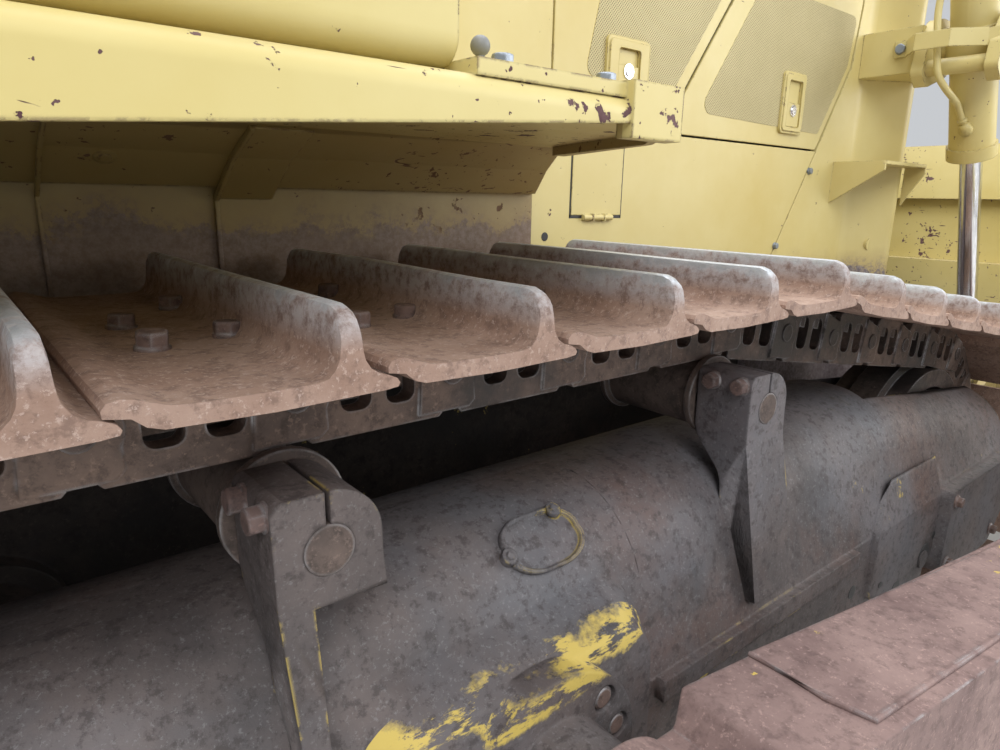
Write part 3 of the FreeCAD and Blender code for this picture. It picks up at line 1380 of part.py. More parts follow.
def lift_barrel():
    y, radius, bore = size("lift_y"), size("lift_barrel"), size("lift_bore")
    above, below, gland = size("lift_above"), size("lift_below"), 90.0
    tube = bar("LiftTube", lift_top, lift_eye, y, -above, below - 40, "Sizes.lift_barrel")
    head = bar("LiftHead", lift_top, lift_eye, y, below - 45, below, radius + 8)
    cap = bar("LiftCap", lift_top, lift_eye, y, -above - 12, -above + 30, radius + 8)
    collar = bar("LiftCollar", lift_top, lift_eye, y, -62, 62, radius + 12)
    pins = rod_along("LiftTrunnions", (lift_top[0], -y + 135, lift_top[1]), (lift_top[0], -y - 135, lift_top[1]),
                     "Sizes.lift_pin")
    inside = bar("LiftBore", lift_top, lift_eye, y, -above + 20, below - gland, "Sizes.lift_bore")
    mouth = bar("LiftMouth", lift_top, lift_eye, y, below - gland - 5, below + 10, "Sizes.lift_rod + Sizes.running_gap")
    return cut("LiftBarrel", fuse("LiftBarrelWhole", [tube, head, cap, collar, pins]), [inside, mouth])


def lift_rod():
    y = size("lift_y")
    length = math.dist(lift_top, lift_eye)
    inner = length - size("lift_rod_long")
    rod = bar("LiftRodBar", lift_top, lift_eye, y, inner, length - 40, "Sizes.lift_rod")
    piston = bar("LiftPiston", lift_top, lift_eye, y, inner, inner + 70, "Sizes.lift_bore - Sizes.running_gap")
    eye = rod_along("LiftEyeRing", (lift_eye[0], -y + 45, lift_eye[1]), (lift_eye[0], -y - 45, lift_eye[1]), 70)
    return fuse("LiftRod", [rod, piston, eye])


both_sides("lift_barrel", lift_barrel())
both_sides("lift_rod", lift_rod())


def lift_bracket():
    """Fork on the guard's corner that holds the trunnions of a lift cylinder."""
    y, x, z = size("lift_y"), lift_top[0], lift_top[1]
    inner, outer = y - size("lift_barrel") - 12 - size("side_gap"), y + size("lift_barrel") + 12 + size("side_gap")
    web = (x - 120, z - 84)
    outline = (
        (x - 80, z + 85, 70), (x + 85, z + 85, 80), (x + 85, z - 80, 80), (web[0] + 10, web[1] - 60, 30),
        (web[0] - 45, web[1] - 20, 25), (web[0] - 30, web[1] + 60, 30),
    )
    cheeks = [
        pad("CheekIn", "XZ_Plane", [rounded(outline)], inner - 40, 40),
        pad("CheekOut", "XZ_Plane", [rounded(outline)], outer, 40),
    ]
    bar_y = rod_along("CheekTie", (web[0], -inner + 20, web[1]), (web[0], -outer - 20, web[1]), 27)
    hood = size("hood_side_y")
    stay = pad("CheekStay", "XY_Plane", [rounded((
        (x - 120, -inner + 35), (x + 60, -inner + 35), (x + 140, -size("guard_flare_y") + 25), (x + 120, -hood - 4),
        (x - 40, -hood - 1), (x - 110, -hood - 1)))], z - 90, 150)
    whole = fuse("LiftForkWhole", cheeks + [bar_y, stay])
    bore = rod_along("LiftForkBore", (x, -inner + 60, z), (x, -outer - 60, z), "Sizes.lift_pin + Sizes.running_gap")
    return cut("LiftFork", whole, [bore])


def guard_step():
    """Step on the guard's side: a plate on two tapered gussets."""
    side, flare = size("hood_side_y") - 8, size("guard_flare_y") - 8
    rear, front, out, top = 1815.0, 2185.0, size("hood_side_y") + 190, 1571.0
    plate = pad("StepPlate", "XY_Plane", [rounded((
        (rear, -side), (1950, -side), (2150, -flare), (front, -flare), (front, -out, 15), (rear, -out, 15)))],
        top - 12, 12)
    gussets = []
    for x, root in ((rear, side), (front - 12, flare)):
        gussets.append(pad("StepGusset%d" % x, "YZ_Plane", [rounded((
            (-root, top - 10), (-root, top - 155), (-out + 4, top - 32), (-out + 4, top - 10)))], x, 12))
    return fuse("GuardStep", [plate] + gussets)


keep("radiator_guard", fuse("GuardWhole", [radiator_guard()] + with_mirror([lift_bracket(), guard_step()])))


def tilt_barrel():
    y, radius = tilt_y, size("tilt_barrel")
    length, gland = size("tilt_barrel_long"), 90.0
    tube = bar("TiltTube", tilt_foot, tilt_eye, y, 90, length, "Sizes.tilt_barrel")
    neck = bar("TiltNeck", tilt_foot, tilt_eye, y, 10, 95, 45)
    eye = rod_along("TiltFootEye", (tilt_foot[0], -y + 39, tilt_foot[1]), (tilt_foot[0], -y - 39, tilt_foot[1]), 66)
    inside = bar("TiltBore", tilt_foot, tilt_eye, y, 130, length - gland, "Sizes.tilt_bore")
    mouth = bar("TiltMouth", tilt_foot, tilt_eye, y, length - gland - 5, length + 10, "Sizes.tilt_rod + Sizes.running_gap")
    pin = rod_along("TiltFootBore", (tilt_foot[0], -y + 60, tilt_foot[1]), (tilt_foot[0], -y - 60, tilt_foot[1]),
                    "Sizes.tilt_pin + Sizes.running_gap")
    return cut("TiltBarrel", fuse("TiltBarrelWhole", [tube, neck, eye]), [inside, mouth, pin])


def tilt_rod():
    y = tilt_y
    length = math.dist(tilt_foot, tilt_eye)
    inner = length - size("tilt_rod_long")
    rod = bar("TiltRodBar", tilt_foot, tilt_eye, y, inner, length - 40, "Sizes.tilt_rod")
    piston = bar("TiltPiston", tilt_foot, tilt_eye, y, inner, inner + 60, "Sizes.tilt_bore - Sizes.running_gap")
    eye = rod_along("TiltEyeRing", (tilt_eye[0], -y + 45, tilt_eye[1]), (tilt_eye[0], -y - 45, tilt_eye[1]), 66)
    return fuse("TiltRod", [rod, piston, eye])


both_sides("pitch_barrel", tilt_barrel())
both_sides("pitch_rod", tilt_rod())


# Check every object, then write each sub-part

doc.recompute()
faults = [o.Label for o in doc.Objects if any(s in ("Invalid", "Error") for s in o.State)]
for label, thing in nodes.items():
    shape = thing.Shape
    if shape.isNull() or not shape.isValid() or not shape.Solids:
        faults.append(label + " has no valid solid")
if faults:
    raise RuntimeError("Not written: " + ", ".join(faults))

os.makedirs("parts", exist_ok=True)
for label, thing in nodes.items():
    thing.Shape.exportStep("parts/%s.step" % label)
whole = Part.makeCompound([thing.Shape for thing in nodes.values()]).BoundBox
print("nodes", len(nodes), "shoes", shoe_count, "step %.2f" % shoe_step)
print("box x %.1f %.1f y %.1f %.1f z %.1f %.1f" % (whole.XMin, whole.XMax, whole.YMin, whole.YMax, whole.ZMin, whole.ZMax))
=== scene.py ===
from math import asin, atan2, cos, dist, exp, hypot, pi, radians, sin, sqrt, tan

import bmesh
import bpy
import numpy as np
from mathutils import Matrix, Vector
from mathutils.geometry import tessellate_polygon


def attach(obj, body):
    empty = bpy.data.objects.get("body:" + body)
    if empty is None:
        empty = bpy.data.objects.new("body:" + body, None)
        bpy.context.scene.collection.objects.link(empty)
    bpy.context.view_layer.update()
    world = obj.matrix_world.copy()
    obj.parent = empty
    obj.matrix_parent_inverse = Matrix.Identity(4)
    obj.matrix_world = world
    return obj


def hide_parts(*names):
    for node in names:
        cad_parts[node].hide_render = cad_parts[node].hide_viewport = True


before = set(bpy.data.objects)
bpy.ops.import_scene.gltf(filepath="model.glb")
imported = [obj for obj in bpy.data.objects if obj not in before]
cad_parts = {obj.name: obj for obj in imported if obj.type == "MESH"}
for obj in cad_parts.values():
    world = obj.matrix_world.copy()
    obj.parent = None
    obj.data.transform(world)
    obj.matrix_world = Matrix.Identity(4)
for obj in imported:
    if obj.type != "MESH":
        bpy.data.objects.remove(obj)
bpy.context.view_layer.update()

SIDES = (("right", -1), ("left", 1))

# Running gear, in millimetres as the solids have it
PITCH = 228.6
SHOE_WIDE = 660
TRACK_Y = 1070
SEAT = 64
PLATE = 80
TIP = 144
RAIL_DROP = 65
RAIL_Y = 75
PHASE_X = -650
UPPER_Z = 1186
SPROCKET = (-1940, 690)
SPROCKET_PITCH = PITCH / 2 / sin(2 * pi / 27)
IDLER = (1500, 582)
IDLER_TREAD = 345
ROLLERS = (-1500, 1020)
ROLLER_TREAD = 135
CARRIERS = (300, -565)
CARRIER_TREAD = 67
CARRIER_Z = UPPER_Z - RAIL_DROP - CARRIER_TREAD
PIVOT = (-300, 650)
CAP = (-356, 1280, 1577)
GUARD_REAR = 1896
HOOD_SIDE = 620
FRAME_SIDE = 1347
GUARD_SIDE = 1372
FLANGE_CIRCLE = 132
FLANGE_TURNS = [radians(turn) for turn in (13, 43, 137, 167, 193, 223, 317, 347)]


# Materials

class Graph:
    """Short names for building one material's nodes."""

    def __init__(self, name):
        self.material = bpy.data.materials.new(name)
        self.material.use_nodes = True
        self.tree = self.material.node_tree
        self.shader = next(n for n in self.tree.nodes if n.type == "BSDF_PRINCIPLED")
        self.place = self.node("TexCoord").outputs["Object"]

    def node(self, kind, **inputs):
        made = self.tree.nodes.new("ShaderNode" + kind)
        for key, value in inputs.items():
            self.put(made.inputs[key.replace("_", " ")], value)
        return made

    def put(self, socket, value):
        if isinstance(value, bpy.types.NodeSocket):
            self.tree.links.new(value, socket)
        elif isinstance(value, tuple) and len(value) == 3 and socket.type == "RGBA":
            socket.default_value = (*value, 1)
        else:
            socket.default_value = value

    def noise(self, scale, detail=6, rough=0.6, stretch=None, offset=0, warp=0):
        place = self.place
        if stretch or offset:
            shift = (offset, offset * 0.7, offset * 1.3)
            place = self.node("Mapping", Vector=place, Location=shift, Scale=stretch or (1, 1, 1))
            place = place.outputs["Vector"]
        made = self.node("TexNoise", Scale=scale, Detail=detail, Roughness=rough, Distortion=warp, Vector=place)
        return made.outputs["Fac"]

    def step(self, value, low, high):
        """0 below low, 1 above high."""
        return self.node("MapRange", Value=value, From_Min=low, From_Max=high).outputs["Result"]

    def spots(self, low, high, *noise, **more):
        """Noise as a step from low to high."""
        return self.step(self.noise(*noise, **more), low, high)

    def wave(self, reach, *noise, **more):
        """Noise about zero."""
        return self.times(self.minus(self.noise(*noise, **more), 0.5), reach)

    def calc(self, kind, *values):
        made = self.node("Math")
        made.operation = kind
        for socket, value in zip(made.inputs, values):
            self.put(socket, value)
        return made.outputs[0]

    def times(self, first, second):
        return self.calc("MULTIPLY", first, second)

    def plus(self, first, second):
        return self.calc("ADD", first, second)

    def minus(self, first, second):
        return self.calc("SUBTRACT", first, second)

    def most(self, first, second):
        return self.calc("MAXIMUM", first, second)

    def mix(self, share, first, second, kind="RGBA", socket=6, result=2):
        made = self.node("Mix")
        made.data_type = kind
        self.put(made.inputs["Factor"], share)
        self.put(made.inputs[socket], first)
        self.put(made.inputs[socket + 1], second)
        return made.outputs[result]

    def blend(self, share, first, second):
        return self.mix(share, first, second, "FLOAT", 2, 0)

    def axis(self, letter):
        return self.node("SeparateXYZ", Vector=self.place).outputs[letter]

    def upness(self):
        return self.node("SeparateXYZ", Vector=self.node("NewGeometry").outputs["Normal"]).outputs["Z"]

    def edges(self, radius, low=0.02, high=0.2):
        """1 on sharp edges, and the rounded normal for the shader."""
        bevel = self.node("Bevel", Radius=radius)
        bevel.samples = 4
        real = self.node("NewGeometry").outputs["Normal"]
        dot = self.node("VectorMath")
        dot.operation = "DOT_PRODUCT"
        self.put(dot.inputs[0], bevel.outputs["Normal"])
        self.put(dot.inputs[1], real)
        return self.step(self.minus(1, dot.outputs["Value"]), low, high), bevel.outputs["Normal"]

    def bump(self, height, depth, normal=None):
        made = self.node("Bump", Strength=1, Distance=depth, Height=height)
        if normal:
            self.put(made.inputs["Normal"], normal)
        return made.outputs["Normal"]

    def finish(self, colour, rough, metal=0, normal=None):
        self.put(self.shader.inputs["Base Color"], colour)
        self.put(self.shader.inputs["Roughness"], rough)
        self.put(self.shader.inputs["Metallic"], metal)
        if normal:
            self.put(self.shader.inputs["Normal"], normal)
        return self.material


YELLOW = (0.60, 0.51, 0.225)
YELLOW_DARK = (0.52, 0.41, 0.13)
STEEL = (0.27, 0.235, 0.245)
STEEL_DARK = (0.12, 0.092, 0.095)
CHIP = (0.075, 0.028, 0.034)
RUST_PINK = (0.385, 0.27, 0.215)
GREASE = (0.022, 0.018, 0.017)
DUST = (0.44, 0.38, 0.30)


def yellow_paint(name, wear=0.5, grime_low=None, chips=0.66, inside=None):
    """Faded yellow with chips, fine scratches, dust on top and, below a height, worn purple-brown steel; when given
    inside, brown under the fender that is partly dirt and partly painted shade.
    """
    g = Graph(name)
    edge, rounded = g.edges(0.005)
    colour = g.mix(g.spots(0.35, 0.7, 1.3), YELLOW, YELLOW_DARK)
    colour = g.mix(g.times(g.spots(0.45, 0.75, 7, 8), 0.22), colour, (0.66, 0.58, 0.28))
    fine = g.noise(42, 9, 0.68)
    broad = g.wave(0.35, 2.6, 5, offset=5)
    spot = g.step(g.plus(g.noise(26, 7, 0.62, offset=3), broad), chips, chips + 0.008)
    dot = g.step(g.plus(g.noise(75, 3, 0.5, offset=13), broad), chips + 0.05, chips + 0.06)
    scratch = g.noise(9, 3, 0.5, stretch=(1, 1, 8), offset=8, warp=0.6)
    scratch = g.step(g.plus(scratch, broad), chips + 0.07, chips + 0.08)
    bare = g.most(g.most(spot, dot), scratch)
    ragged = g.times(edge, g.step(fine, 0.60 - 0.14 * wear, 0.63 - 0.10 * wear))
    bare = g.most(bare, ragged)
    rough = g.blend(g.noise(25), 0.36, 0.52)
    if grime_low:
        low, high = grime_low
        height = g.plus(g.axis("Z"), g.wave(0.22, 5, 9, 0.66))
        worn = g.minus(1, g.step(height, low, high))
        speck = g.spots(0.47, 0.53, 60, 9, 0.72, offset=1)
        colour = g.mix(g.times(g.step(worn, 0.05, 0.6), 0.5), colour, (0.34, 0.235, 0.10))
        hard = g.times(g.step(worn, 0.35, 0.95), g.plus(speck, g.step(worn, 0.60, 0.78)))
        grit = g.mix(g.spots(0.40, 0.60, 70, 6, 0.75, offset=4), STEEL_DARK, STEEL)
        grit = g.mix(g.times(g.spots(0.45, 0.68, 3, 8, 0.65, offset=6), 0.7), grit, (0.095, 0.072, 0.078))
        colour = g.mix(g.calc("MINIMUM", hard, 1), colour, grit)
        bare = g.times(bare, g.minus(1, g.calc("MINIMUM", hard, 1)))
    metal = g.mix(g.spots(0.4, 0.62, 19, 8, 0.7), CHIP, (0.155, 0.088, 0.085))
    colour = g.mix(bare, colour, metal)
    # Under the fender and inside its lip the colour turns brown: partly dirt, partly painted shade of the dim space
    # there.
    if inside:
        inside_shade_and_dirt = g.calc("LESS_THAN", g.calc("ABSOLUTE", g.axis("Y")), inside[0])
        inside_shade_and_dirt = g.times(inside_shade_and_dirt, g.calc("LESS_THAN", g.axis("Z"), inside[1]))
        colour = g.mix(g.times(inside_shade_and_dirt, 0.55), colour, (0.21, 0.125, 0.04))
    dust = g.times(g.step(g.upness(), 0.55, 0.98), g.spots(0.4, 0.8, 5, 7))
    colour = g.mix(g.times(dust, 0.30), colour, DUST)
    rough = g.blend(g.most(bare, dust), rough, 0.82)
    height = g.minus(g.times(g.noise(60, 3), 0.08), g.times(bare, 0.35))
    return g.finish(colour, rough, 0, g.bump(height, 0.0016, rounded))


def rusty(name, light, dark, polish=0, paint=0, grease=0, scale=1):
    """Rough brown steel. polish brightens worn edges, paint leaves yellow scraps, grease darkens patches."""
    g = Graph(name)
    edge, rounded = g.edges(0.006, 0.015, 0.16)
    coarse = g.noise(6 * scale, 9, 0.68)
    fine = g.noise(48 * scale, 8, 0.74, offset=2)
    colour = g.mix(g.step(coarse, 0.36, 0.66), dark, light)
    colour = g.mix(g.times(g.step(fine, 0.50, 0.62), 0.55), colour, tuple(0.55 * c for c in dark))
    colour = g.mix(g.times(g.spots(0.57, 0.63, 95, 5, 0.8, offset=6), 0.5), colour,
                   tuple(min(1, 1.5 * c) for c in light))
    rough = g.blend(fine, 0.62, 0.92)
    metal = 0
    if grease:
        patch = g.times(g.step(g.noise(2.6, 6, 0.6, offset=4), 0.62 - 0.25 * grease, 0.70 - 0.2 * grease), 0.85)
        colour = g.mix(patch, colour, GREASE)
        rough = g.blend(patch, rough, 0.5)
    if paint:
        scrap = g.step(g.noise(4.4, 10, 0.7, offset=9), 0.66 - 0.12 * paint, 0.672 - 0.12 * paint)
        scrap = g.times(scrap, g.step(fine, 0.44, 0.48))
        colour = g.mix(scrap, colour, (0.58, 0.43, 0.10))
        rough = g.blend(scrap, rough, 0.5)
    if polish:
        shine = g.times(edge, g.step(g.noise(22, 6, 0.6, offset=1), 0.50 - 0.25 * polish, 0.62))
        colour = g.mix(shine, colour, (0.42, 0.41, 0.42))
        rough = g.blend(shine, rough, 0.42)
        metal = g.times(shine, 0.7)
    pits = g.plus(g.times(coarse, 0.6), g.times(fine, 0.5))
    return g.finish(colour, rough, metal, g.bump(pits, 0.003, rounded))


def frame_skin():
    """Track frame: grey-black worn steel with brown patches, with streaks of the old yellow low down."""
    g = Graph("track_frame_skin")
    edge, rounded = g.edges(0.006, 0.015, 0.16)
    coarse = g.noise(3.4, 9, 0.66)
    fine = g.noise(52, 8, 0.75, offset=2)
    speck = g.noise(140, 4, 0.8, offset=3)
    colour = g.mix(g.step(coarse, 0.34, 0.66), (0.052, 0.046, 0.047), (0.135, 0.108, 0.102))
    colour = g.mix(g.times(g.spots(0.50, 0.66, 1.9, 8, 0.7, offset=5), 0.7), colour, (0.115, 0.060, 0.045))
    blue = g.spots(0.46, 0.64, 2.3, 7, 0.6, offset=17)
    colour = g.mix(g.times(blue, 0.6), colour, (0.125, 0.128, 0.145))
    colour = g.mix(g.times(g.step(speck, 0.56, 0.64), 0.35), colour, (0.25, 0.245, 0.25))
    colour = g.mix(g.times(g.step(fine, 0.52, 0.60), 0.6), colour, (0.036, 0.028, 0.027))
    height = g.axis("Z")
    side = g.minus(1, g.step(height, 0.60, 0.93))
    patch = g.spots(0.635, 0.65, 3, 11, 0.72, offset=7)
    scrap = g.times(g.times(patch, g.step(fine, 0.40, 0.46)), g.plus(side, 0.02))
    ragged = g.times(edge, g.spots(0.52, 0.56, 9, 8, 0.7, offset=11))
    ragged = g.times(ragged, g.spots(0.50, 0.56, 1.4, 3, offset=15))
    # What is left of the paint along the ridge of the trunnion's casting
    near = g.calc("LESS_THAN", g.calc("ABSOLUTE", g.minus(g.axis("X"), 0.001 * PIVOT[0])), 0.29)
    uneven = g.wave(0.09, 8, 8, 0.7, offset=19)
    level = g.plus(height, uneven)
    ridge = g.times(g.step(level, 0.772, 0.780), g.minus(1, g.step(level, 0.808, 0.818)))
    ridge = g.times(g.times(ridge, near), g.calc("GREATER_THAN", g.calc("ABSOLUTE", g.axis("Y")), 1.312))
    ridge = g.times(ridge, g.step(g.noise(26, 8, 0.72, stretch=(0.35, 1, 1), offset=21), 0.46, 0.50))
    scrap = g.most(g.most(scrap, ragged), ridge)
    colour = g.mix(scrap, colour, (0.56, 0.42, 0.10))
    rough = g.blend(fine, 0.48, 0.80)
    pits = g.plus(g.times(coarse, 0.5), g.times(fine, 0.45))
    return g.finish(colour, rough, 0, g.bump(pits, 0.0028, rounded))


def shoe_skin():
    """Shoes: pinkish brown plates, bluish white where the grouser's top is polished, dark specks."""
    g = Graph("shoe_skin")
    tone = g.node("Attribute")
    tone.attribute_name = "rise"
    rise = tone.outputs["Fac"]
    coarse = g.noise(5, 9, 0.68)
    fine = g.noise(55, 8, 0.76, offset=2)
    speck = g.noise(150, 4, 0.8, offset=3)
    colour = g.mix(g.step(coarse, 0.36, 0.64), RUST_PINK, (0.25, 0.155, 0.115))
    colour = g.mix(g.times(g.step(fine, 0.50, 0.60), 0.5), colour, (0.105, 0.062, 0.05))
    colour = g.mix(g.times(g.step(speck, 0.56, 0.62), 0.6), colour, (0.47, 0.36, 0.31))
    wall = g.step(rise, 0.30, 0.60)
    scuffed = g.mix(g.step(fine, 0.44, 0.62), (0.40, 0.385, 0.395), (0.20, 0.145, 0.13))
    colour = g.mix(g.times(wall, 0.75), colour, scuffed)
    pale = g.plus(rise, g.wave(1.1, 26, 8, 0.7, offset=6))
    shine = g.step(pale, 0.72, 0.96)
    colour = g.mix(shine, colour, (0.54, 0.57, 0.61))
    rough = g.blend(shine, g.blend(fine, 0.66, 0.92), 0.38)
    pits = g.plus(g.times(coarse, 0.5), g.times(fine, 0.5))
    return g.finish(colour, rough, g.times(shine, 0.55), g.bump(pits, 0.0026))


def plain(name, colour, rough=0.5, metal=0, grain=0):
    g = Graph(name)
    edge, rounded = g.edges(0.003)
    tone = g.mix(g.spots(0.35, 0.7, 9, 7), colour, tuple(0.72 * c for c in colour))
    tone = g.mix(g.times(edge, g.spots(0.5, 0.6, 30)), tone, tuple(min(1, 1.6 * c + 0.05) for c in colour))
    return g.finish(tone, g.blend(g.noise(35), rough * 0.8, min(1, rough * 1.2)), metal,
                    g.bump(g.noise(80, 3), 0.0004 + grain, rounded))


def chrome():
    """Plated rod with thin length-wise wiping marks and a little dust."""
    g = Graph("rod_plating")
    streak = g.noise(60, 4, 0.6, stretch=(1, 8, 0.12))
    colour = g.mix(g.step(streak, 0.4, 0.7), (0.80, 0.81, 0.83), (0.55, 0.55, 0.57))
    return g.finish(colour, g.blend(streak, 0.10, 0.28), 1)


def glass():
    g = Graph("pane")
    g.put(g.shader.inputs["Transmission Weight"], 0.92)
    dirt = g.spots(0.45, 0.8, 3, 8, 0.7)
    colour = g.mix(g.times(dirt, 0.35), (0.78, 0.86, 0.84), (0.42, 0.38, 0.30))
    g.put(g.shader.inputs["IOR"], 1.45)
    return g.finish(colour, g.blend(dirt, 0.03, 0.35), 0)


def perforated():
    g = Graph("door_mesh")
    holes = []
    for turn in (radians(45), radians(-45)):
        shift = g.node("Mapping", Vector=g.place, Rotation=(0, turn, 0))
        split = g.node("SeparateXYZ", Vector=shift.outputs["Vector"])
        holes.append(g.calc("SINE", g.times(split.outputs["X"], 2 * pi / 0.0062)))
    hole = g.step(g.plus(holes[0], holes[1]), 0.35, 0.75)
    dusty = g.mix(g.spots(0.4, 0.7, 3, 8), (0.60, 0.52, 0.28), (0.50, 0.43, 0.22))
    # The holes are coloured dark brown: painted shade of the dim space behind the mesh.
    colour = g.mix(hole, dusty, (0.22, 0.18, 0.09))
    height = g.minus(1, hole)
    return g.finish(colour, 0.7, 0, g.bump(height, 0.0015))


paint = yellow_paint("yellow_paint", 0.4, chips=0.72)
# The fender's inside darkens to brown, partly dirt and partly painted shade.
paint_fender = yellow_paint("yellow_paint_fender", 0.7, (1.34, 1.43), chips=0.655, inside=(1.399, 1.5135))
paint_hood = yellow_paint("yellow_paint_hood", 0.5, (1.12, 1.26), chips=0.70)
paint_low = yellow_paint("yellow_paint_low", 1.3, (0.45, 0.90), chips=0.655)
frame_material = frame_skin()
shoes_material = shoe_skin()
chain_material = rusty("chain_steel", (0.21, 0.145, 0.115), (0.085, 0.062, 0.053), polish=0.3, grease=0.35)
roller_material = rusty("roller_steel", (0.145, 0.105, 0.088), (0.05, 0.038, 0.034), polish=0.7, paint=0.2,
                        grease=0.3)
bracket_material = rusty("bracket_iron", (0.165, 0.105, 0.092), (0.062, 0.046, 0.044), polish=0.25, paint=0.15,
                         grease=0.25)
arm_material = rusty("arm_steel", (0.30, 0.205, 0.185), (0.165, 0.105, 0.098), polish=0.15, paint=0.35, scale=0.8)
bolt_material = rusty("bolt_heads", (0.23, 0.15, 0.125), (0.09, 0.058, 0.048), polish=0.3, scale=1.6)
hull_material = rusty("hull_grime", (0.070, 0.052, 0.044), (0.026, 0.020, 0.018), paint=0.25, grease=0.6)
edge_material = rusty("edge_steel", (0.33, 0.27, 0.24), (0.17, 0.11, 0.09), polish=0.9, scale=0.6)
dark = plain("dark_paint", (0.045, 0.045, 0.045), 0.55)
black = plain("black_plastic", (0.03, 0.03, 0.03), 0.5)
seat_cloth = plain("seat_cover", (0.035, 0.035, 0.04), 0.85, grain=0.0006)
plating = chrome()
panes = glass()
mesh_material = perforated()
grey_cap = plain("grey_plastic", (0.22, 0.23, 0.24), 0.5)

LOOKS = {
    "track_frame": frame_material, "track_rollers": roller_material, "idler": roller_material,
    "sprocket": chain_material, "track": chain_material, "push_arm": arm_material, "cross_arms": arm_material,
    "lift_rod": plating, "pitch_rod": plating, "cutting_edge": edge_material, "main_frame": hull_material,
    "equalizer_bar": arm_material, "engine_block": dark, "radiator": black, "front_grille": paint_low,
    "fender": paint_fender, "hood": paint_hood, "radiator_guard": paint_hood, "cab_glass": panes,
    "door_glass": panes,
    "operator_seat": seat_cloth, "consoles": black, "exhaust_stack": dark, "air_cleaner": black,
    "drawbar": arm_material, "blade": paint_low, "blade_lugs": paint_low,
}


for node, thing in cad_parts.items():
    thing.data.materials.clear()
    thing.data.materials.append(LOOKS.get(node.removesuffix("_right").removesuffix("_left"), paint))


# Meshes

def new_object(name, data):
    thing = bpy.data.objects.new(name, data)
    bpy.context.scene.collection.objects.link(thing)
    return thing


def new_mesh(name, points, faces):
    """Mesh from points in millimetres."""
    mesh = bpy.data.meshes.new(name)
    mesh.from_pydata([tuple(0.001 * c for c in p) for p in points], [], faces)
    return mesh


def loft_faces(rows, count, start=0, open_base=False):
    """Caps on the first ring, unless it is open, and on the last, and the faces between the rings."""
    top = start + (rows - 1) * count
    faces = [] if open_base else [tuple(range(start + count - 1, start - 1, -1))]
    faces.append(tuple(range(top, top + count)))
    return faces + [(r + i, r + (i + 1) % count, r + count + (i + 1) % count, r + count + i)
                    for r in range(start, top, count) for i in range(count)]


def add_mesh(name, points, faces, material, body, smooth=False):
    """Piece from points in millimetres."""
    mesh = new_mesh(name, points, faces)
    mesh.validate()
    mesh.update()
    thing = new_object(name, mesh)
    mesh.materials.append(material)
    if smooth:
        mesh.shade_smooth()
    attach(thing, body)
    return thing


class Batch:
    """Many small solids gathered into one mesh."""

    def __init__(self):
        self.points = []
        self.faces = []

    def add(self, points, faces):
        start = len(self.points)
        self.points += [tuple(p) for p in points]
        self.faces += [tuple(start + i for i in f) for f in faces]

    def prism(self, outline, place, thick, holes=()):
        """Plate with holes. place maps (a, b, across) to a point."""
        loops = [list(outline)] + [list(h) for h in holes]
        flat = [[Vector((a, b, 0)) for a, b in loop] for loop in loops]
        triangles = tessellate_polygon(flat)
        pairs = [p for loop in loops for p in loop]
        low, high = thick
        count = len(pairs)
        points = [place(a, b, low) for a, b in pairs] + [place(a, b, high) for a, b in pairs]
        faces = [tuple(reversed(t)) for t in triangles] + [tuple(i + count for i in t) for t in triangles]
        start = 0
        for loop in loops:
            for i in range(len(loop)):
                j = (i + 1) % len(loop)
                faces.append((start + i, start + j, count + start + j, count + start + i))
            start += len(loop)
        self.add(points, faces)

    def tube(self, centre, axis, radius, start, end, sides=16):
        """Round or many-sided bar along an axis, from start to end."""
        axis = Vector(axis).normalized()
        across = axis.orthogonal().normalized()
        third = axis.cross(across)
        points = []
        for reach in (start, end):
            for i in range(sides):
                turn = 2 * pi * i / sides
                points.append(Vector(centre) + axis * reach + (across * cos(turn) + third * sin(turn)) * radius)
        self.add(points, loft_faces(2, sides))

    def bolt(self, centre, axis, across_flats, height, turn=0, washer=0):
        """Hexagon head with a rounded top rim."""
        axis = Vector(axis).normalized()
        first = axis.orthogonal().normalized()
        third = axis.cross(first)
        radius = across_flats / sqrt(3)
        base = 3 if washer else 0
        sides, points = 12, []
        for reach, grow in ((-2, 1), (height * 0.78, 1), (height * 0.94, 0.94), (height, 0.80)):
            for i in range(sides):
                angle = turn + 2 * pi * i / sides
                corner = radius * min(1 if i % 2 == 0 else 0.90, grow)
                across = (first * cos(angle) + third * sin(angle)) * corner
                points.append(Vector(centre) + axis * (base + reach) + across)
        self.add(points, loft_faces(4, sides, open_base=True))
        if washer:
            self.tube(centre, axis, washer, -2, 3, 20)

    def box(self, low, high):
        """Box between two corners given in any order."""
        x0, x1 = sorted((low[0], high[0]))
        y0, y1 = sorted((low[1], high[1]))
        z0, z1 = sorted((low[2], high[2]))
        points = [(x, y, z) for x in (x0, x1) for y in (y0, y1) for z in (z0, z1)]
        self.add(points, [(0, 1, 3, 2), (4, 6, 7, 5), (0, 4, 5, 1), (2, 3, 7, 6), (0, 2, 6, 4), (1, 5, 7, 3)])

    def make(self, name, material, body, smooth=False):
        return add_mesh(name, self.points, self.faces, material, body, smooth)


# Track path: the same runs and turns as the solid loop

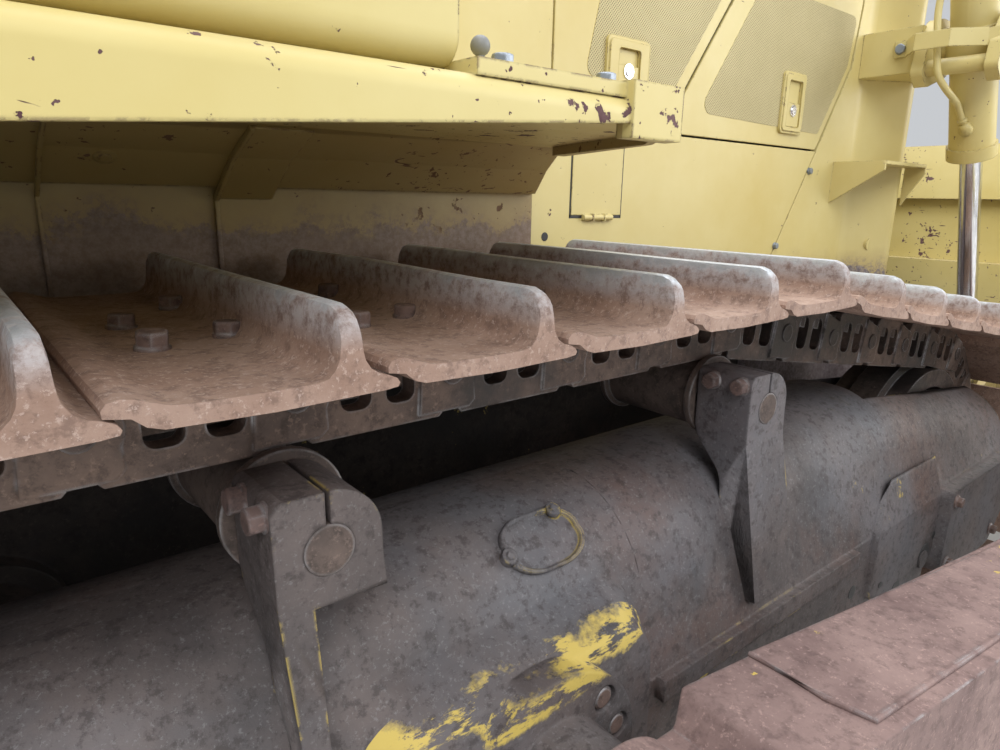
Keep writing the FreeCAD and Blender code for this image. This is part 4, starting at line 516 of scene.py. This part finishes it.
def track_runs():
    lower, upper = ROLLER_TREAD + RAIL_DROP, CARRIER_TREAD + RAIL_DROP
    ground = TIP + lower
    circles = (
        (ROLLERS[0], ground, lower), (ROLLERS[1], ground, lower), (IDLER[0], IDLER[1], IDLER_TREAD + RAIL_DROP),
        (CARRIERS[0], UPPER_Z - upper, upper), (CARRIERS[1], UPPER_Z - upper, upper),
        (SPROCKET[0], SPROCKET[1], SPROCKET_PITCH),
    )
    runs = []
    for i in range(6):
        first, second = circles[i], circles[(i + 1) % 6]
        dx, dz = second[0] - first[0], second[1] - first[1]
        reach = hypot(dx, dz)
        along = atan2(dz, dx) - asin((second[2] - first[2]) / reach)
        out = (sin(along), -cos(along))
        start = (first[0] + out[0] * first[2], first[1] + out[1] * first[2])
        end = (second[0] + out[0] * second[2], second[1] + out[1] * second[2])
        runs.append((start, end, along))
    path = []
    for i in range(6):
        start, end, along = runs[i]
        path.append((dist(start, end), start, along, 0, None))
        circle = circles[(i + 1) % 6]
        turn = (runs[(i + 1) % 6][2] - along) % (2 * pi)
        path.append((circle[2] * turn, end, along, circle[2], circle[:2]))
    return path


path = track_runs()
loop_length = sum(piece[0] for piece in path)
shoe_count = round(loop_length / PITCH)
shoe_step = loop_length / shoe_count
phase = sum(piece[0] for piece in path[:6]) + CARRIERS[0] - PHASE_X


def path_at(distance):
    distance %= loop_length
    for length, start, along, radius, centre in path:
        if distance > length:
            distance -= length
            continue
        if not radius:
            return (start[0] + cos(along) * distance, start[1] + sin(along) * distance), along
        along += distance / radius
        return (centre[0] + sin(along) * radius, centre[1] - cos(along) * radius), along
    return path[0][1], path[0][2]


places = []
for i in range(shoe_count):
    (x, z), along = path_at(phase - i * shoe_step)
    places.append(((x, z), (-cos(along), -sin(along)), (sin(along), -cos(along))))


# Shoes

# Outline of a shoe from its rear edge to its front toe and back underneath: ahead, out from the pin line
SHOE = (
    (-124, 79), (-124.5, 84.5), (-121, 89.5), (-113, 91.5), (-103, 90), (-92, 86), (-78, 81.5),
    (-60, 80), (0, 79.5), (36, 80), (46, 82.5), (52.5, 89), (56, 101), (57.5, 118), (58.5, 136),
    (61, 142), (66, 144), (72, 143.5), (76.5, 140), (78, 132), (79, 112), (81, 96),
    (86, 86), (94, 80.5), (104, 77.5), (112, 73.5), (115, 69), (113, 65.5), (100, 64),
    (0, 62), (-84, 64), (-96, 68), (-106, 76),
)


def shoe_mesh(word, side):
    """Shoes as lofts across the track, with the grouser's outer corners rounded off."""
    half = SHOE_WIDE / 2
    inset = np.array([0, 2, 6, 13, 24, 40, 70, 130, 200, 265, 330])
    stations = np.concatenate([-half + inset, (half - inset)[::-1][1:]])
    outline = np.array(SHOE)
    count = len(outline)
    points, faces, rises = [], [], []
    rng = np.random.default_rng(11 if side < 0 else 12)
    for k, ((x, z), ahead, out) in enumerate(places):
        worn = rng.uniform(-1, 1, 4)
        start = len(points)
        for y in stations:
            room = half - abs(y)
            drop = 0 if room > 28 else 26 * (1 - sqrt(max(0, 1 - ((28 - room) / 28) ** 2)))
            soft = 1.5 * (1 + sin(y * 0.012 + worn[0] * 3) * worn[1])
            for a, o in outline:
                rise = max(0, (o - 92) / (TIP - 92))
                height = o - (drop + soft) * rise
                if o > 100 and room <= 28:
                    height = min(height, max(96, TIP - drop) - soft)
                ahead_now = a
                if a < -100:
                    ahead_now += 1.2 * sin(y * 0.02 + worn[2] * 4) * max(0, 1 - room / 60)
                points.append((x + ahead[0] * ahead_now + out[0] * height, side * TRACK_Y + y,
                               z + ahead[1] * ahead_now + out[1] * height))
                rises.append(min(1, max(0, (height - PLATE) / (TIP - PLATE))) + 0.12 * worn[3] * rise)
        faces += loft_faces(len(stations), count, start)
    thing = add_mesh("shoes_" + word, points, faces, shoes_material, "machine")
    tone = thing.data.attributes.new("rise", "FLOAT", "POINT")
    tone.data.foreach_set("value", np.array(rises, dtype=np.float32))
    thing.data.shade_smooth()
    thing.data.set_sharp_from_angle(angle=radians(38))
    return thing


def rounded_box(a0, b0, a1, b1, radius, steps=4):
    """Corner points of a rounded rectangle."""
    points = []
    for ca, cb, start in ((a1 - radius, b1 - radius, 0), (a0 + radius, b1 - radius, 90),
                          (a0 + radius, b0 + radius, 180), (a1 - radius, b0 + radius, 270)):
        for i in range(steps + 1):
            turn = radians(start + 90 * i / steps)
            points.append((ca + radius * cos(turn), cb + radius * sin(turn)))
    return points


def smooth_loop(outline, steps=5):
    """Outline of corners (a, b, radius) turned into points with rounded corners."""
    points, count = [], len(outline)
    for i, (a, b, radius) in enumerate(outline):
        here = Vector((a, b))
        back = (Vector(outline[i - 1][:2]) - here).normalized()
        ahead = (Vector(outline[(i + 1) % count][:2]) - here).normalized()
        half = back.angle(ahead) / 2
        reach = radius / tan(half)
        centre = here + (back + ahead).normalized() * radius / sin(half)
        first, second = here + back * reach - centre, here + ahead * reach - centre
        for k in range(steps + 1 if radius else 1):
            points.append(tuple(centre + first.slerp(second, k / steps) * radius if radius else here))
    return points


def arc(ca, cb, radius, start, end, steps):
    return [(ca + radius * cos(radians(start + (end - start) * i / steps)),
             cb + radius * sin(radians(start + (end - start) * i / steps))) for i in range(steps + 1)]


def chain_mesh(word, side):
    """Link rails with their windows, overlapping eyes and pin ends."""
    links, pins = Batch(), Batch()
    half = shoe_step / 2
    body = [(-94, -RAIL_DROP), (94, -RAIL_DROP), (99, -60), (97, -38), (80, 0), (86, 34), (78, 60), (60, SEAT - 0.5),
            (-60, SEAT - 0.5), (-78, 60), (-86, 34), (-80, 0), (-97, -38), (-99, -60)]
    windows = (rounded_box(-54, -33, -11, 40, 14), rounded_box(11, -33, 54, 40, 14))
    front = [(60, -57), (half + 30, -57), (half + 40, -48)] + arc(half, 0, 44, -30, 90, 8) + [(66, 56)]
    back = [(-66, 56)] + arc(-half, 0, 44, 90, 210, 8) + [(-half - 40, -48), (-half - 30, -57), (-60, -57)]
    for (x, z), ahead, out in places:
        for rail in (-1, 1):
            middle = side * TRACK_Y + rail * RAIL_Y

            def place(a, b, y, middle=middle, rail=rail):
                return (x + ahead[0] * a + out[0] * b, middle + rail * y, z + ahead[1] * a + out[1] * b)

            links.prism(body, place, (-16, 15), windows)
            links.prism(front, place, (1, 20))
            links.prism(back, place, (-20, -1))
            for a in (-32.5, 32.5):
                nut = (x + ahead[0] * a + out[0] * 30, middle, z + ahead[1] * a + out[1] * 30)
                pins.tube(nut, (out[0], 0, out[1]), 15, -14, 22, 6)
        pin = (x + ahead[0] * half, side * TRACK_Y, z + ahead[1] * half)
        pins.tube(pin, (0, 1, 0), 20, -RAIL_Y - 23, RAIL_Y + 23, 16)
        pins.tube(pin, (0, 1, 0), 31, -RAIL_Y + 21, RAIL_Y - 21, 16)
    chain = links.make("chain_" + word, chain_material, "machine")
    rods = pins.make("chain_pins_" + word, roller_material, "machine", True)
    rods.data.set_sharp_from_angle(angle=radians(40))
    return chain, rods


def shoe_bolts(word, side):
    bolts = Batch()
    rng = np.random.default_rng(21 if side < 0 else 22)
    for (x, z), ahead, out in places:
        for a, outer in ((-40, 114), (-40, -25), (42, 88), (42, -134)):
            turn = rng.uniform(0, 6)
            height = rng.uniform(13, 18)
            tilt = rng.uniform(-0.08, 0.08, 2)
            centre = (x + ahead[0] * a + out[0] * PLATE, side * (TRACK_Y + outer),
                      z + ahead[1] * a + out[1] * PLATE)
            axis = (out[0] + ahead[0] * tilt[0], tilt[1], out[1] + ahead[1] * tilt[0])
            bolts.bolt(centre, axis, rng.uniform(26, 30), height, turn, washer=rng.uniform(15.5, 17.5))
    bolts.make("shoe_bolts_" + word, bolt_material, "machine")


for word, side in SIDES:
    shoes = shoe_mesh(word, side)
    chain, rods = chain_mesh(word, side)
    shoe_bolts(word, side)
    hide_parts("track_" + word)
    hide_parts("track_" + word)
    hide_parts("track_" + word)


# Forms carved from solids: the track frame with its trunnion boss, and the fender

def solid(points, faces):
    """Closed object for carving, points in millimetres."""
    mesh = new_mesh("solid", points, faces)
    work = bmesh.new()
    work.from_mesh(mesh)
    bmesh.ops.recalc_face_normals(work, faces=work.faces)
    work.to_mesh(mesh)
    work.free()
    return new_object("solid", mesh)


def slab(outline, plane, start, end):
    """Prism on an outline of (a, b, radius) corners: along x on (y, z), along y on (x, z) or along z on (x, y)."""
    order = {"x": lambda a, b, c: (c, a, b), "y": lambda a, b, c: (a, c, b), "z": lambda a, b, c: (a, b, c)}[plane]
    batch = Batch()
    batch.prism(smooth_loop([(*corner, 0)[:3] for corner in outline], 6), order, (start, end))
    return solid(batch.points, batch.faces)


def shape(base, operation, *tools):
    """The base joined with, cut by or kept within each tool in turn."""
    for tool in tools:
        modifier = base.modifiers.new("shape", "BOOLEAN")
        modifier.solver = "EXACT"
        modifier.operation = operation
        modifier.object = tool
        mesh = bpy.data.meshes.new_from_object(base.evaluated_get(bpy.context.evaluated_depsgraph_get()))
        base.modifiers.clear()
        base.data = mesh
        bpy.data.objects.remove(tool)
    return base


def dress(thing, name, material, node):
    """Names the carved object and lets it stand for its solid."""
    thing.name = name
    thing.data.name = name
    thing.data.materials.clear()
    thing.data.materials.append(material)
    thing.data.polygons.foreach_set("material_index", [0] * len(thing.data.polygons))
    thing.data.shade_smooth()
    thing.data.set_sharp_from_angle(angle=radians(35))
    weighted = thing.modifiers.new("flat faces stay flat", "WEIGHTED_NORMAL")
    weighted.keep_sharp = True
    weighted.weight = 80
    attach(thing, "machine")
    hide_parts(node)


def boss_mesh(side):
    """Casting that swells out of the tube's leaning side, a round flange on it with a well for each bolt."""
    x, z = PIVOT
    sections = []
    for y, grow in ((1255, 48), (1350, 0)):
        outline = ((x - 252 - grow, 510, 0), (x + 252 + grow, 510, 0), (x + 238 + grow, z + 152 + grow, 88),
                   (x - 238 - grow, z + 152 + grow, 88))
        sections.append([(a, side * y, b) for a, b in smooth_loop(outline, 8)])
    count = len(sections[0])
    caps = tessellate_polygon([[Vector((a, b, 0)) for a, _, b in sections[0]]])
    faces = [tuple(t) for t in caps] + [tuple(i + count for i in t) for t in caps]
    boss = solid(sections[0] + sections[1], faces + loft_faces(2, count)[2:])

    def rod(centre, radius, start, end, sides=48):
        batch = Batch()
        batch.tube((centre[0], 0, centre[1]), (0, side, 0), radius, start, end, sides)
        return solid(batch.points, batch.faces)

    flange = rod((x, z), 163, 1340, 1385, 72)
    for turn in FLANGE_TURNS:
        well = (x + FLANGE_CIRCLE * cos(turn), z + FLANGE_CIRCLE * sin(turn))
        flange = shape(flange, "DIFFERENCE", rod(well, 21, 1371, 1395, 24))
    return shape(boss, "UNION", flange, rod((x, z), 100, 1375, 1400))


def track_frame_mesh(word, side):
    thing = new_object("frame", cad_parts["track_frame_" + word].data.copy())
    work = bmesh.new()
    work.from_mesh(thing.data)
    bmesh.ops.remove_doubles(work, verts=work.verts, dist=1e-5)
    work.to_mesh(thing.data)
    work.free()
    wall = [(1335.2, 506, 0), (1335.2, 655, 60), (1241.2, 950, 190), (1150, 950, 0), (1150, 990, 0),
            (1398.6, 990, 0), (1398.6, 506, 0)]
    around = slab([(side * y, z, radius) for y, z, radius in wall], "x", PIVOT[0] - 285, PIVOT[0] + 285)
    lean = [(1347.3, 662), (1309, 785), (1370, 785), (1370, 662)]
    leaning = slab([(side * y, z) for y, z in lean], "x", 780, 1187)
    thing = shape(shape(thing, "DIFFERENCE", around, leaning), "UNION", boss_mesh(side))
    dress(thing, "track_frame_dressed_" + word, frame_material, "track_frame_" + word)


def fender_mesh(word, side):
    """Plate with a lip that gets shallower forward, and the wall inside the track flared out to it."""
    out, wall, inner, fold = 1410, 715, 620, 915
    top, under, deep, shallow = 1526, 1514, 1428, 1498
    rear, tip = -2480, -170

    def across(outline, start, end):
        return slab([(side * c[0], *c[1:]) for c in outline], "x", start, end)

    def plan(outline, start, end):
        return slab([(c[0], side * c[1], *c[2:]) for c in outline], "z", start, end)

    body = across([(out, deep), (out, top, 22), (inner, top), (inner, 1180), (wall, 1180), (wall, deep)],
                  rear, rear + 2900)
    front = plan([(tip, out + 20), (tip, out - 5), (tip + 170, out - 175, 60), (tip + 300, out - 490, 80),
                  (tip + 400, wall), (tip + 400, inner - 20), (tip + 900, inner - 20), (tip + 900, out + 20)], 1100, 1600)
    room = plan([(rear - 10, out - 12), (tip - 8, out - 12), (tip + 158, out - 182), (tip + 270, fold),
                 (tip + 500, fold), (tip + 500, wall), (rear - 10, wall)], 1300, under)
    flare = across([(out + 10, 1300), (out + 10, under), (fold - 10, under), (wall + 95, under - 40, 60),
                    (wall, under - 100, 30), (wall, 1300)], rear - 20, tip + 600)
    room = shape(room, "INTERSECT", flare)
    taper = slab([(rear - 5, deep - 10), (rear - 5, deep - 3), (-1200, deep), (tip - 84, shallow),
                  (tip + 600, shallow), (tip + 600, deep - 10)], "y", *sorted((side * fold, side * (out + 10))))
    hollow = across([(wall - 10, 1100), (inner - 5, 1100), (inner - 5, top - 16), (wall - 10, top - 16)], -425, tip + 500)
    body = shape(body, "DIFFERENCE", front, room, taper, hollow)
    step = plan([(-452, out - 8), (-247, out - 8), (-247, out - 110), (-452, out - 110)], top - 2, top + 13)
    end = plan([(tip - 84, out + 3), (tip, out + 3), (tip, out - 20), (tip - 84, out - 20)], top - 43, top + 15)
    dress(shape(body, "UNION", step, end), "fender_dressed_" + word, paint_fender, "fender_" + word)


for word, side in SIDES:
    track_frame_mesh(word, side)
    fender_mesh(word, side)


# Small solids on one side, named once and made for both

def batch_for(name, material, body="machine", smooth=False):
    """Fills a batch for each side with the function that it decorates."""
    def build(fill):
        for word, side in SIDES:
            batch = Batch()
            fill(batch, side)
            owner = body if body in ("machine", "blade", "push_frame") else body + "_" + word
            batch.make(name + "_" + word, material, owner, smooth)
        return fill
    return build


@batch_for("carrier_bolts", bracket_material)
def carrier_bolts(batch, side):
    """Two bolts through the split of each carrier roller's bracket."""
    for x in CARRIERS:
        for y in (1222, 1280):
            batch.bolt((x - 60, side * y, CARRIER_Z + 47), (-1, 0, 0), 27, 17, 0.3, washer=17)


@batch_for("flange_bolts", bolt_material)
def flange_bolts(batch, side):
    """Bolts of the trunnion's flange and of the fork's guard."""
    for turn in FLANGE_TURNS:
        centre = (PIVOT[0] + FLANGE_CIRCLE * cos(turn), side * 1371, PIVOT[1] + FLANGE_CIRCLE * sin(turn))
        batch.tube(centre, (0, side, 0), 17, -2, 10, 20)
        batch.tube(centre, (0, side, 0), 14.5, 9, 12, 20)
    for x, z in ((1225, 640), (1230, 455), (1600, 445), (1690, 635)):
        batch.bolt((x, side * GUARD_SIDE, z), (0, side, 0), 26, 14, x * 0.1, washer=19)


# Along, up, out to the surface, and radius
HOLES = (
    (721, 534, 1335, 17), (814, 537, 1335, 15), (853, 510, FRAME_SIDE, 9), (998, 440, 1335, 24),
    (1126, 499, FRAME_SIDE, 36), (1177, 545, FRAME_SIDE, 11),
)


@batch_for("frame_hole_shade", black)
def frame_hole_shade(batch, side):
    """Black discs of painted shade that stand for the holes in the frame's side and the fork's cheek."""
    for x, z, y, radius in HOLES:
        batch.tube((x, side * y, z), (0, side, 0), radius, -2, 0.8, 24)


@batch_for("frame_plug", frame_material)
def frame_plug(batch, side):
    """Boss that sits low in the largest hole."""
    batch.tube((1118, side * FRAME_SIDE, 491), (0, side, 0), 25, -2, 5, 24)


@batch_for("shoulder_cover", frame_material)
def shoulder_cover(batch, side):
    """Oval cover on the tube's shoulder, a rounded rim with two lugs and their screws."""
    def place(along, angle, height):
        radius = 190 + height
        return (along, side * (TRACK_Y + 32.2 + radius * sin(angle)), 760 + radius * cos(angle))

    middle_x, middle_turn = -180, radians(38.5)
    rings = []
    for k in range(48):
        turn = 2 * pi * k / 48
        bulge = 1 + 0.10 * abs(sin(2 * turn))
        rings.append((cos(turn) * bulge, sin(turn) * bulge))
    profile = ((1, -1), (1, 6), (0.97, 9), (0.90, 9), (0.87, 6), (0.87, 3))
    points = []
    for share, height in profile:
        points += [place(middle_x + 76 * share * u, middle_turn + 0.245 * share * v, height) for u, v in rings]
    batch.add(points, loft_faces(len(profile), 48, open_base=True))
    for u, v in ((-0.98, 0.16), (0.62, -0.80)):
        turn = middle_turn + 0.245 * v
        centre = Vector(place(middle_x + 76 * u, turn, 2))
        ahead = Vector(place(middle_x, turn, 20)) - Vector(place(middle_x, turn, 0))
        batch.tube(centre, ahead, 13, -4, 9, 14)
        batch.tube(centre, ahead, 7, 8, 12, 6)


@batch_for("fender_details", paint_fender)
def fender_details(batch, side):
    """Doubler, seams and a plug weld on the wall inside the track."""
    wall = [(715, 1190), (715, 1412), (809, 1474), (898, 1512)]
    for x0, x1, first, out in ((-721, -715, 0, 4), (-470, -376, 1, 4), (-473, -466, 0, 7)):
        outline = wall[first:] + [(y + out, z - out) for y, z in reversed(wall[first:])]
        batch.prism(outline, lambda a, b, c: (c, side * a, b), (x0, x1))
    batch.tube((-640, side * 794, 1464), (0, side * 0.55, -0.84), 15, -3, 2, 20)
    batch.tube((-640, side * 794, 1464), (0, side * 0.55, -0.84), 8, -3, 4, 16)


@batch_for("hood_bolts", plain("zinc", (0.30, 0.34, 0.40), 0.35, 0.6))
def hood_bolts(batch, side):
    """Plated bolts on the step plate, along the guard's seam and on the guard."""
    for x in (-400, -255):
        batch.bolt((x, side * 1372, 1539), (0, 0, 1), 19, 9, 0.4, washer=11)
    batch.bolt((1902, side * 764, 1949), (-0.98, side * 0.2, 0), 30, 15, 0.2, washer=18)
    for x, y, z in ((1641, 620, 1531), (1465, 620, 1272), (2018, 634, 2087), (2090, 684, 1985), (560, 620, 1160)):
        batch.bolt((x, side * y, z), (0, side, 0), 19, 9, x * 0.1, washer=12)


@batch_for("tank_cap", grey_cap, smooth=True)
def tank_cap(batch, side):
    """Round knob on a short stem behind the step plate."""
    x, y, z = CAP
    rings, around = 8, 20
    points = []
    for k in range(rings + 1):
        angle = pi * (0.02 + 0.83 * k / rings)
        for i in range(around):
            turn = 2 * pi * i / around
            points.append((x + 11 * sin(angle) * cos(turn), side * (y + 11 * sin(angle) * sin(turn)),
                           z + 11 * cos(angle)))
    batch.add(points, loft_faces(rings + 1, around))
    batch.tube((x, side * y, z), (0, 0, -1), 5, 6, z - 1525, 12)


def swept(batch, path, radius, sides=14):
    """Round bar along a path of points."""
    rings = []
    for i, point in enumerate(path):
        ahead = (Vector(path[min(i + 1, len(path) - 1)]) - Vector(path[max(i - 1, 0)])).normalized()
        first = ahead.cross(Vector((0, 1, 0))).normalized()
        third = ahead.cross(first)
        rings += [Vector(point) + (first * cos(2 * pi * k / sides) + third * sin(2 * pi * k / sides)) * radius
                  for k in range(sides)]
    batch.add(rings, loft_faces(len(path), sides))


@batch_for("lift_pipe", paint, "lift_barrel", smooth=True)
def lift_pipe(batch, side):
    """Pressure pipe beside the lift cylinder, its nut and its block low on the barrel."""
    bends = [(1850, 896, 2220), (1850, 885, 2041), (1850, 897, 1953), (1852, 914, 1842), (1905, 930, 1800),
             (2000, 937, 1767), (2045, 942, 1724), (2066, 954, 1690)]
    points = [Vector((x, side * y, z)) for x, y, z in bends]
    path = [points[0]]
    for before, here, after in zip(points, points[1:], points[2:]):
        reach = min((before - here).length, (after - here).length) * 0.42
        start, end = here + (before - here).normalized() * reach, here + (after - here).normalized() * reach
        path += [start.lerp(here, t).lerp(here.lerp(end, t), t) for t in (0, 0.2, 0.4, 0.6, 0.8, 1)]
    swept(batch, path + [points[-1]], 11)
    nut = (points[-1] - points[-2]).normalized()
    batch.tube(points[-2].lerp(points[-1], 0.2), nut, 16.5, 0, 12, 6)
    batch.tube(points[-1], nut, 19, -14, 12, 6)
    batch.tube(points[-1] + nut * 10, (0.917, 0, 0.399), 21, -14, 9, 18)
    batch.tube(points[0], (0.1, 0, 1), 16.5, -14, 10, 6)
    batch.tube(points[0], (0.999, side * 0.05, -0.03), 15, 0, 32, 16)


@batch_for("pipe_strap", paint)
def pipe_strap(batch, side):
    """Bent flat bar that guards the pipe, bolted to the fork's stay and its outer cheek."""
    middle = [(1908, 742), (1899, 786), (1818, 842), (1812, 948), (1884, 1034), (1893, 1074)]
    loop = []
    for distance, order in ((4, 1), (-4, -1)):
        row = []
        for i, (x, y) in enumerate(middle):
            x0, y0 = middle[max(i - 1, 0)]
            x1, y1 = middle[min(i + 1, len(middle) - 1)]
            reach = hypot(x1 - x0, y1 - y0)
            row.append((x + distance * (y1 - y0) / reach, y - distance * (x1 - x0) / reach))
        loop += row[::order]
    batch.prism(loop, lambda a, b, c: (a, side * b, c), (1922, 1976))


@batch_for("arm_doubler", arm_material, "push_frame")
def arm_doubler(batch, side):
    """Plate welded on the rear of the push arm's upper face, with its bead."""
    def place(x, y, up):
        return (x, side * y, PIVOT[1] + 150 - 0.0837 * (x - PIVOT[0]) + up)

    batch.prism([(0, 1480), (-4, 1596), (7, 1653), (900, 1717), (900, 1562)], place, (-1, 5))
    swept(batch, [place(x, y, 2) for x, y in ((0, 1480), (-5, 1596), (6, 1655), (300, 1676), (900, 1719))], 4.5, 8)


@batch_for("guard_corners", paint_hood)
def guard_corners(batch, side):
    """Plates that close the guard's upper corners beside the hood's slanting edge."""
    rear = GUARD_REAR
    cover = [(rear, 460), (1965, 485), (2150, 728), (2120, 722), (1958, 612), (rear, 612)]
    batch.prism(cover, lambda a, b, c: (a, side * b, c), (2316, 2329))
    batch.prism([(612, 2196), (612, 2320), (490, 2320)], lambda a, b, c: (c, side * a, b), (rear, rear + 6))


@batch_for("hood_details", paint_hood)
def hood_details(batch, side):
    """Small cover with its hinge on the side panel, seam strips and pads."""
    batch.box((449, side * (HOOD_SIDE - 1), 1378), (638, side * (HOOD_SIDE + 2.5), 1592))
    batch.tube((545, side * (HOOD_SIDE + 5), 1372), (1, 0, 0), 8, -55, 55, 12)
    for x in (-22, 22):
        batch.box((543 + x, side * (HOOD_SIDE - 1), 1362), (547 + x, side * (HOOD_SIDE + 14), 1382))
    batch.tube((2064, side * 660, 1265), (0, side, 0), 24, 0, 26, 18)


@batch_for("door_gap_shade", black)
def door_gap_shade(batch, side):
    """Black strips of painted shade in the gaps round the small cover, and a black disc of painted shade for the
    hole beside it.
    """
    for low, high in (((444, 1374), (449, 1592)), ((638, 1374), (643, 1592)), ((444, 1370), (643, 1378))):
        batch.box((low[0], side * 619.2, low[1]), (high[0], side * 620.6, high[1]))
    batch.tube((361, side * HOOD_SIDE, 1325), (0, side, 0), 11, -1, 0.8, 20)


def door_fields(word, side):
    """Perforated field, latch plate with its well and plated button for each engine door."""
    rear = [(479, 1718, 26), (837, 1724, 26), (1085, 2068, 26), (560, 2068, 26)]
    front = [(957, 1672, 30), (1666, 1658, 20), (1824, 1902, 60), (1850, 2068, 26), (1236, 2068, 26)]
    for name, outline, latch in (("rear", rear, (547, 1690, 713, 1822)), ("front", front, (1398, 1645, 1537, 1838))):
        body = "engine_door_%s_%s" % (name, word)
        field, rim = Batch(), Batch()
        loop = smooth_loop(outline)

        def place(a, b, y):
            return (a, side * (HOOD_SIDE + y), b)

        field.prism(loop, place, (-1, 1.2))
        field.make("field_%s_%s" % (name, word), mesh_material, body)
        x0, z0, x1, z1 = latch
        mid = (x0 + x1) / 2
        well = rounded_box(mid - 42, z0 + 22, mid + 42, z1 - 26, 8)
        rim.prism(rounded_box(x0, z0, x1, z1, 16), place, (0, 9), [well])
        rim.prism(rounded_box(x0 + 8, z0 + 8, x1 - 8, z1 - 8, 14), place, (8, 13), [well])
        rim.prism(well, place, (0, 2.5))
        rim.box((mid - 42, side * 621, z0 + 22), (mid + 42, side * 629, z0 + 22 + 0.52 * (z1 - z0 - 48)))
        rim.make("latch_%s_%s" % (name, word), paint, body)
        button = Batch()
        centre = (mid, side * 629, z0 + 22 + 0.36 * (z1 - z0 - 48))
        button.tube(centre, (0, side, 0), 19, -1, 3, 20)
        button.tube(centre, (0, side, 0), 13, 2, 6, 20)
        button.make("button_%s_%s" % (name, word), plating, body)


for word, side in SIDES:
    door_fields(word, side)


# Operator's seat: two stitched cushions on a pedestal

def cushion(name, size, crown, centre, lean):
    """Crowned closed form, sides drawn in between the corners, with sewn channels across its upper face."""
    half = Vector(size) / 2
    place = Matrix.Translation(centre) @ Matrix.Rotation(radians(lean), 4, "Y")
    work = bmesh.new()
    bmesh.ops.create_cube(work, size=2.0)
    bmesh.ops.subdivide_edges(work, edges=work.edges[:], cuts=28, use_grid_fill=True)
    for vertex in work.verts:
        u, v, w = vertex.co
        grow = (abs(u) ** 5 + abs(v) ** 5 + abs(w) ** 5) ** -0.2
        u, v, w = u * grow, v * grow, w * grow
        x = half.x * u * (1 - 0.05 * (1 - v * v) * abs(u))
        y = half.y * v * (1 - 0.05 * (1 - u * u) * abs(v))
        z = half.z * w + crown * max(0, 1 - u * u) * max(0, 1 - v * v) * max(0, w)
        for at in (-0.42, 0.42):
            z -= 9 * exp(-((y - at * half.y) / 7) ** 2) * max(0, w) * max(0, 1 - u ** 4)
        z -= 3 * exp(-((abs(w) - 0.42) / 0.05) ** 2) if abs(w) < 0.9 else 0
        vertex.co = 0.001 * (place @ Vector((x, y, z)))
    mesh = bpy.data.meshes.new(name)
    work.to_mesh(mesh)
    work.free()
    mesh.materials.append(seat_cloth)
    mesh.shade_smooth()
    thing = new_object(name, mesh)
    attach(thing, "machine")
    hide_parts("operator_seat")


cushion("seat_cushion", (560, 500, 125), 14, (-1315, 0, 2152), -2)
cushion("seat_back", (655, 480, 112), 12, (-1552, 0, 2520), -83)
pedestal = Batch()
pedestal.box((-1480, -200, 1790), (-1100, 200, 1835))
pedestal.box((-1455, -170, 1830), (-1125, 170, 2060))
pedestal.box((-1500, -215, 2055), (-1085, 215, 2096))
pedestal = pedestal.make("seat_pedestal", black, "machine")
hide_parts("operator_seat")


# Floor, light and camera

def stage():
    bpy.ops.mesh.primitive_plane_add(size=400, location=(0, 0, 0))
    floor = bpy.context.object
    floor.name = "floor"
    g = Graph("floor")
    floor.data.materials.append(g.finish((0.62, 0.61, 0.59), 0.9))
    world = bpy.data.worlds.new("studio")
    bpy.context.scene.world = world
    world.use_nodes = True
    back = world.node_tree.nodes["Background"]
    back.inputs["Color"].default_value = (0.93, 0.96, 1, 1)
    back.inputs["Strength"].default_value = 0.62
    for name, place, width, power, aim in (
        ("key", (-3.5, -7, 7.5), 6, 600, (0, -1, 0.8)),
        ("top", (1, 1, 9), 8, 680, (0, 0, 0)),
        ("fill", (6, -5, 4), 5, 300, (1, 0, 1)),
    ):
        lamp = bpy.data.lights.new(name, "AREA")
        lamp.shape = "DISK"
        lamp.size = width
        lamp.energy = power
        thing = new_object(name, lamp)
        thing.location = place
        thing.rotation_euler = (Vector(aim) - Vector(place)).to_track_quat("-Z", "Y").to_euler()


def camera():
    """Close view over the right track, as in the photograph."""
    data = bpy.data.cameras.new("camera")
    data.sensor_width = 36
    data.lens = 691.27 / 1000 * 36
    data.clip_start = 0.02
    yaw, pitch, roll = radians(50.52), radians(-14.41), radians(1.11)
    ahead = Vector((cos(pitch) * cos(yaw), cos(pitch) * sin(yaw), sin(pitch)))
    right = Vector((sin(yaw), -cos(yaw), 0))
    up = right.cross(ahead)
    level, tall = right * cos(roll) + up * sin(roll), up * cos(roll) - right * sin(roll)
    thing = new_object("camera", data)
    turn = Matrix((level, tall, -ahead)).transposed().to_4x4()
    thing.matrix_world = Matrix.Translation((-0.850, -1.924, 1.419)) @ turn
    bpy.context.scene.camera = thing


stage()
camera()
bpy.context.scene.view_settings.view_transform = "Standard"
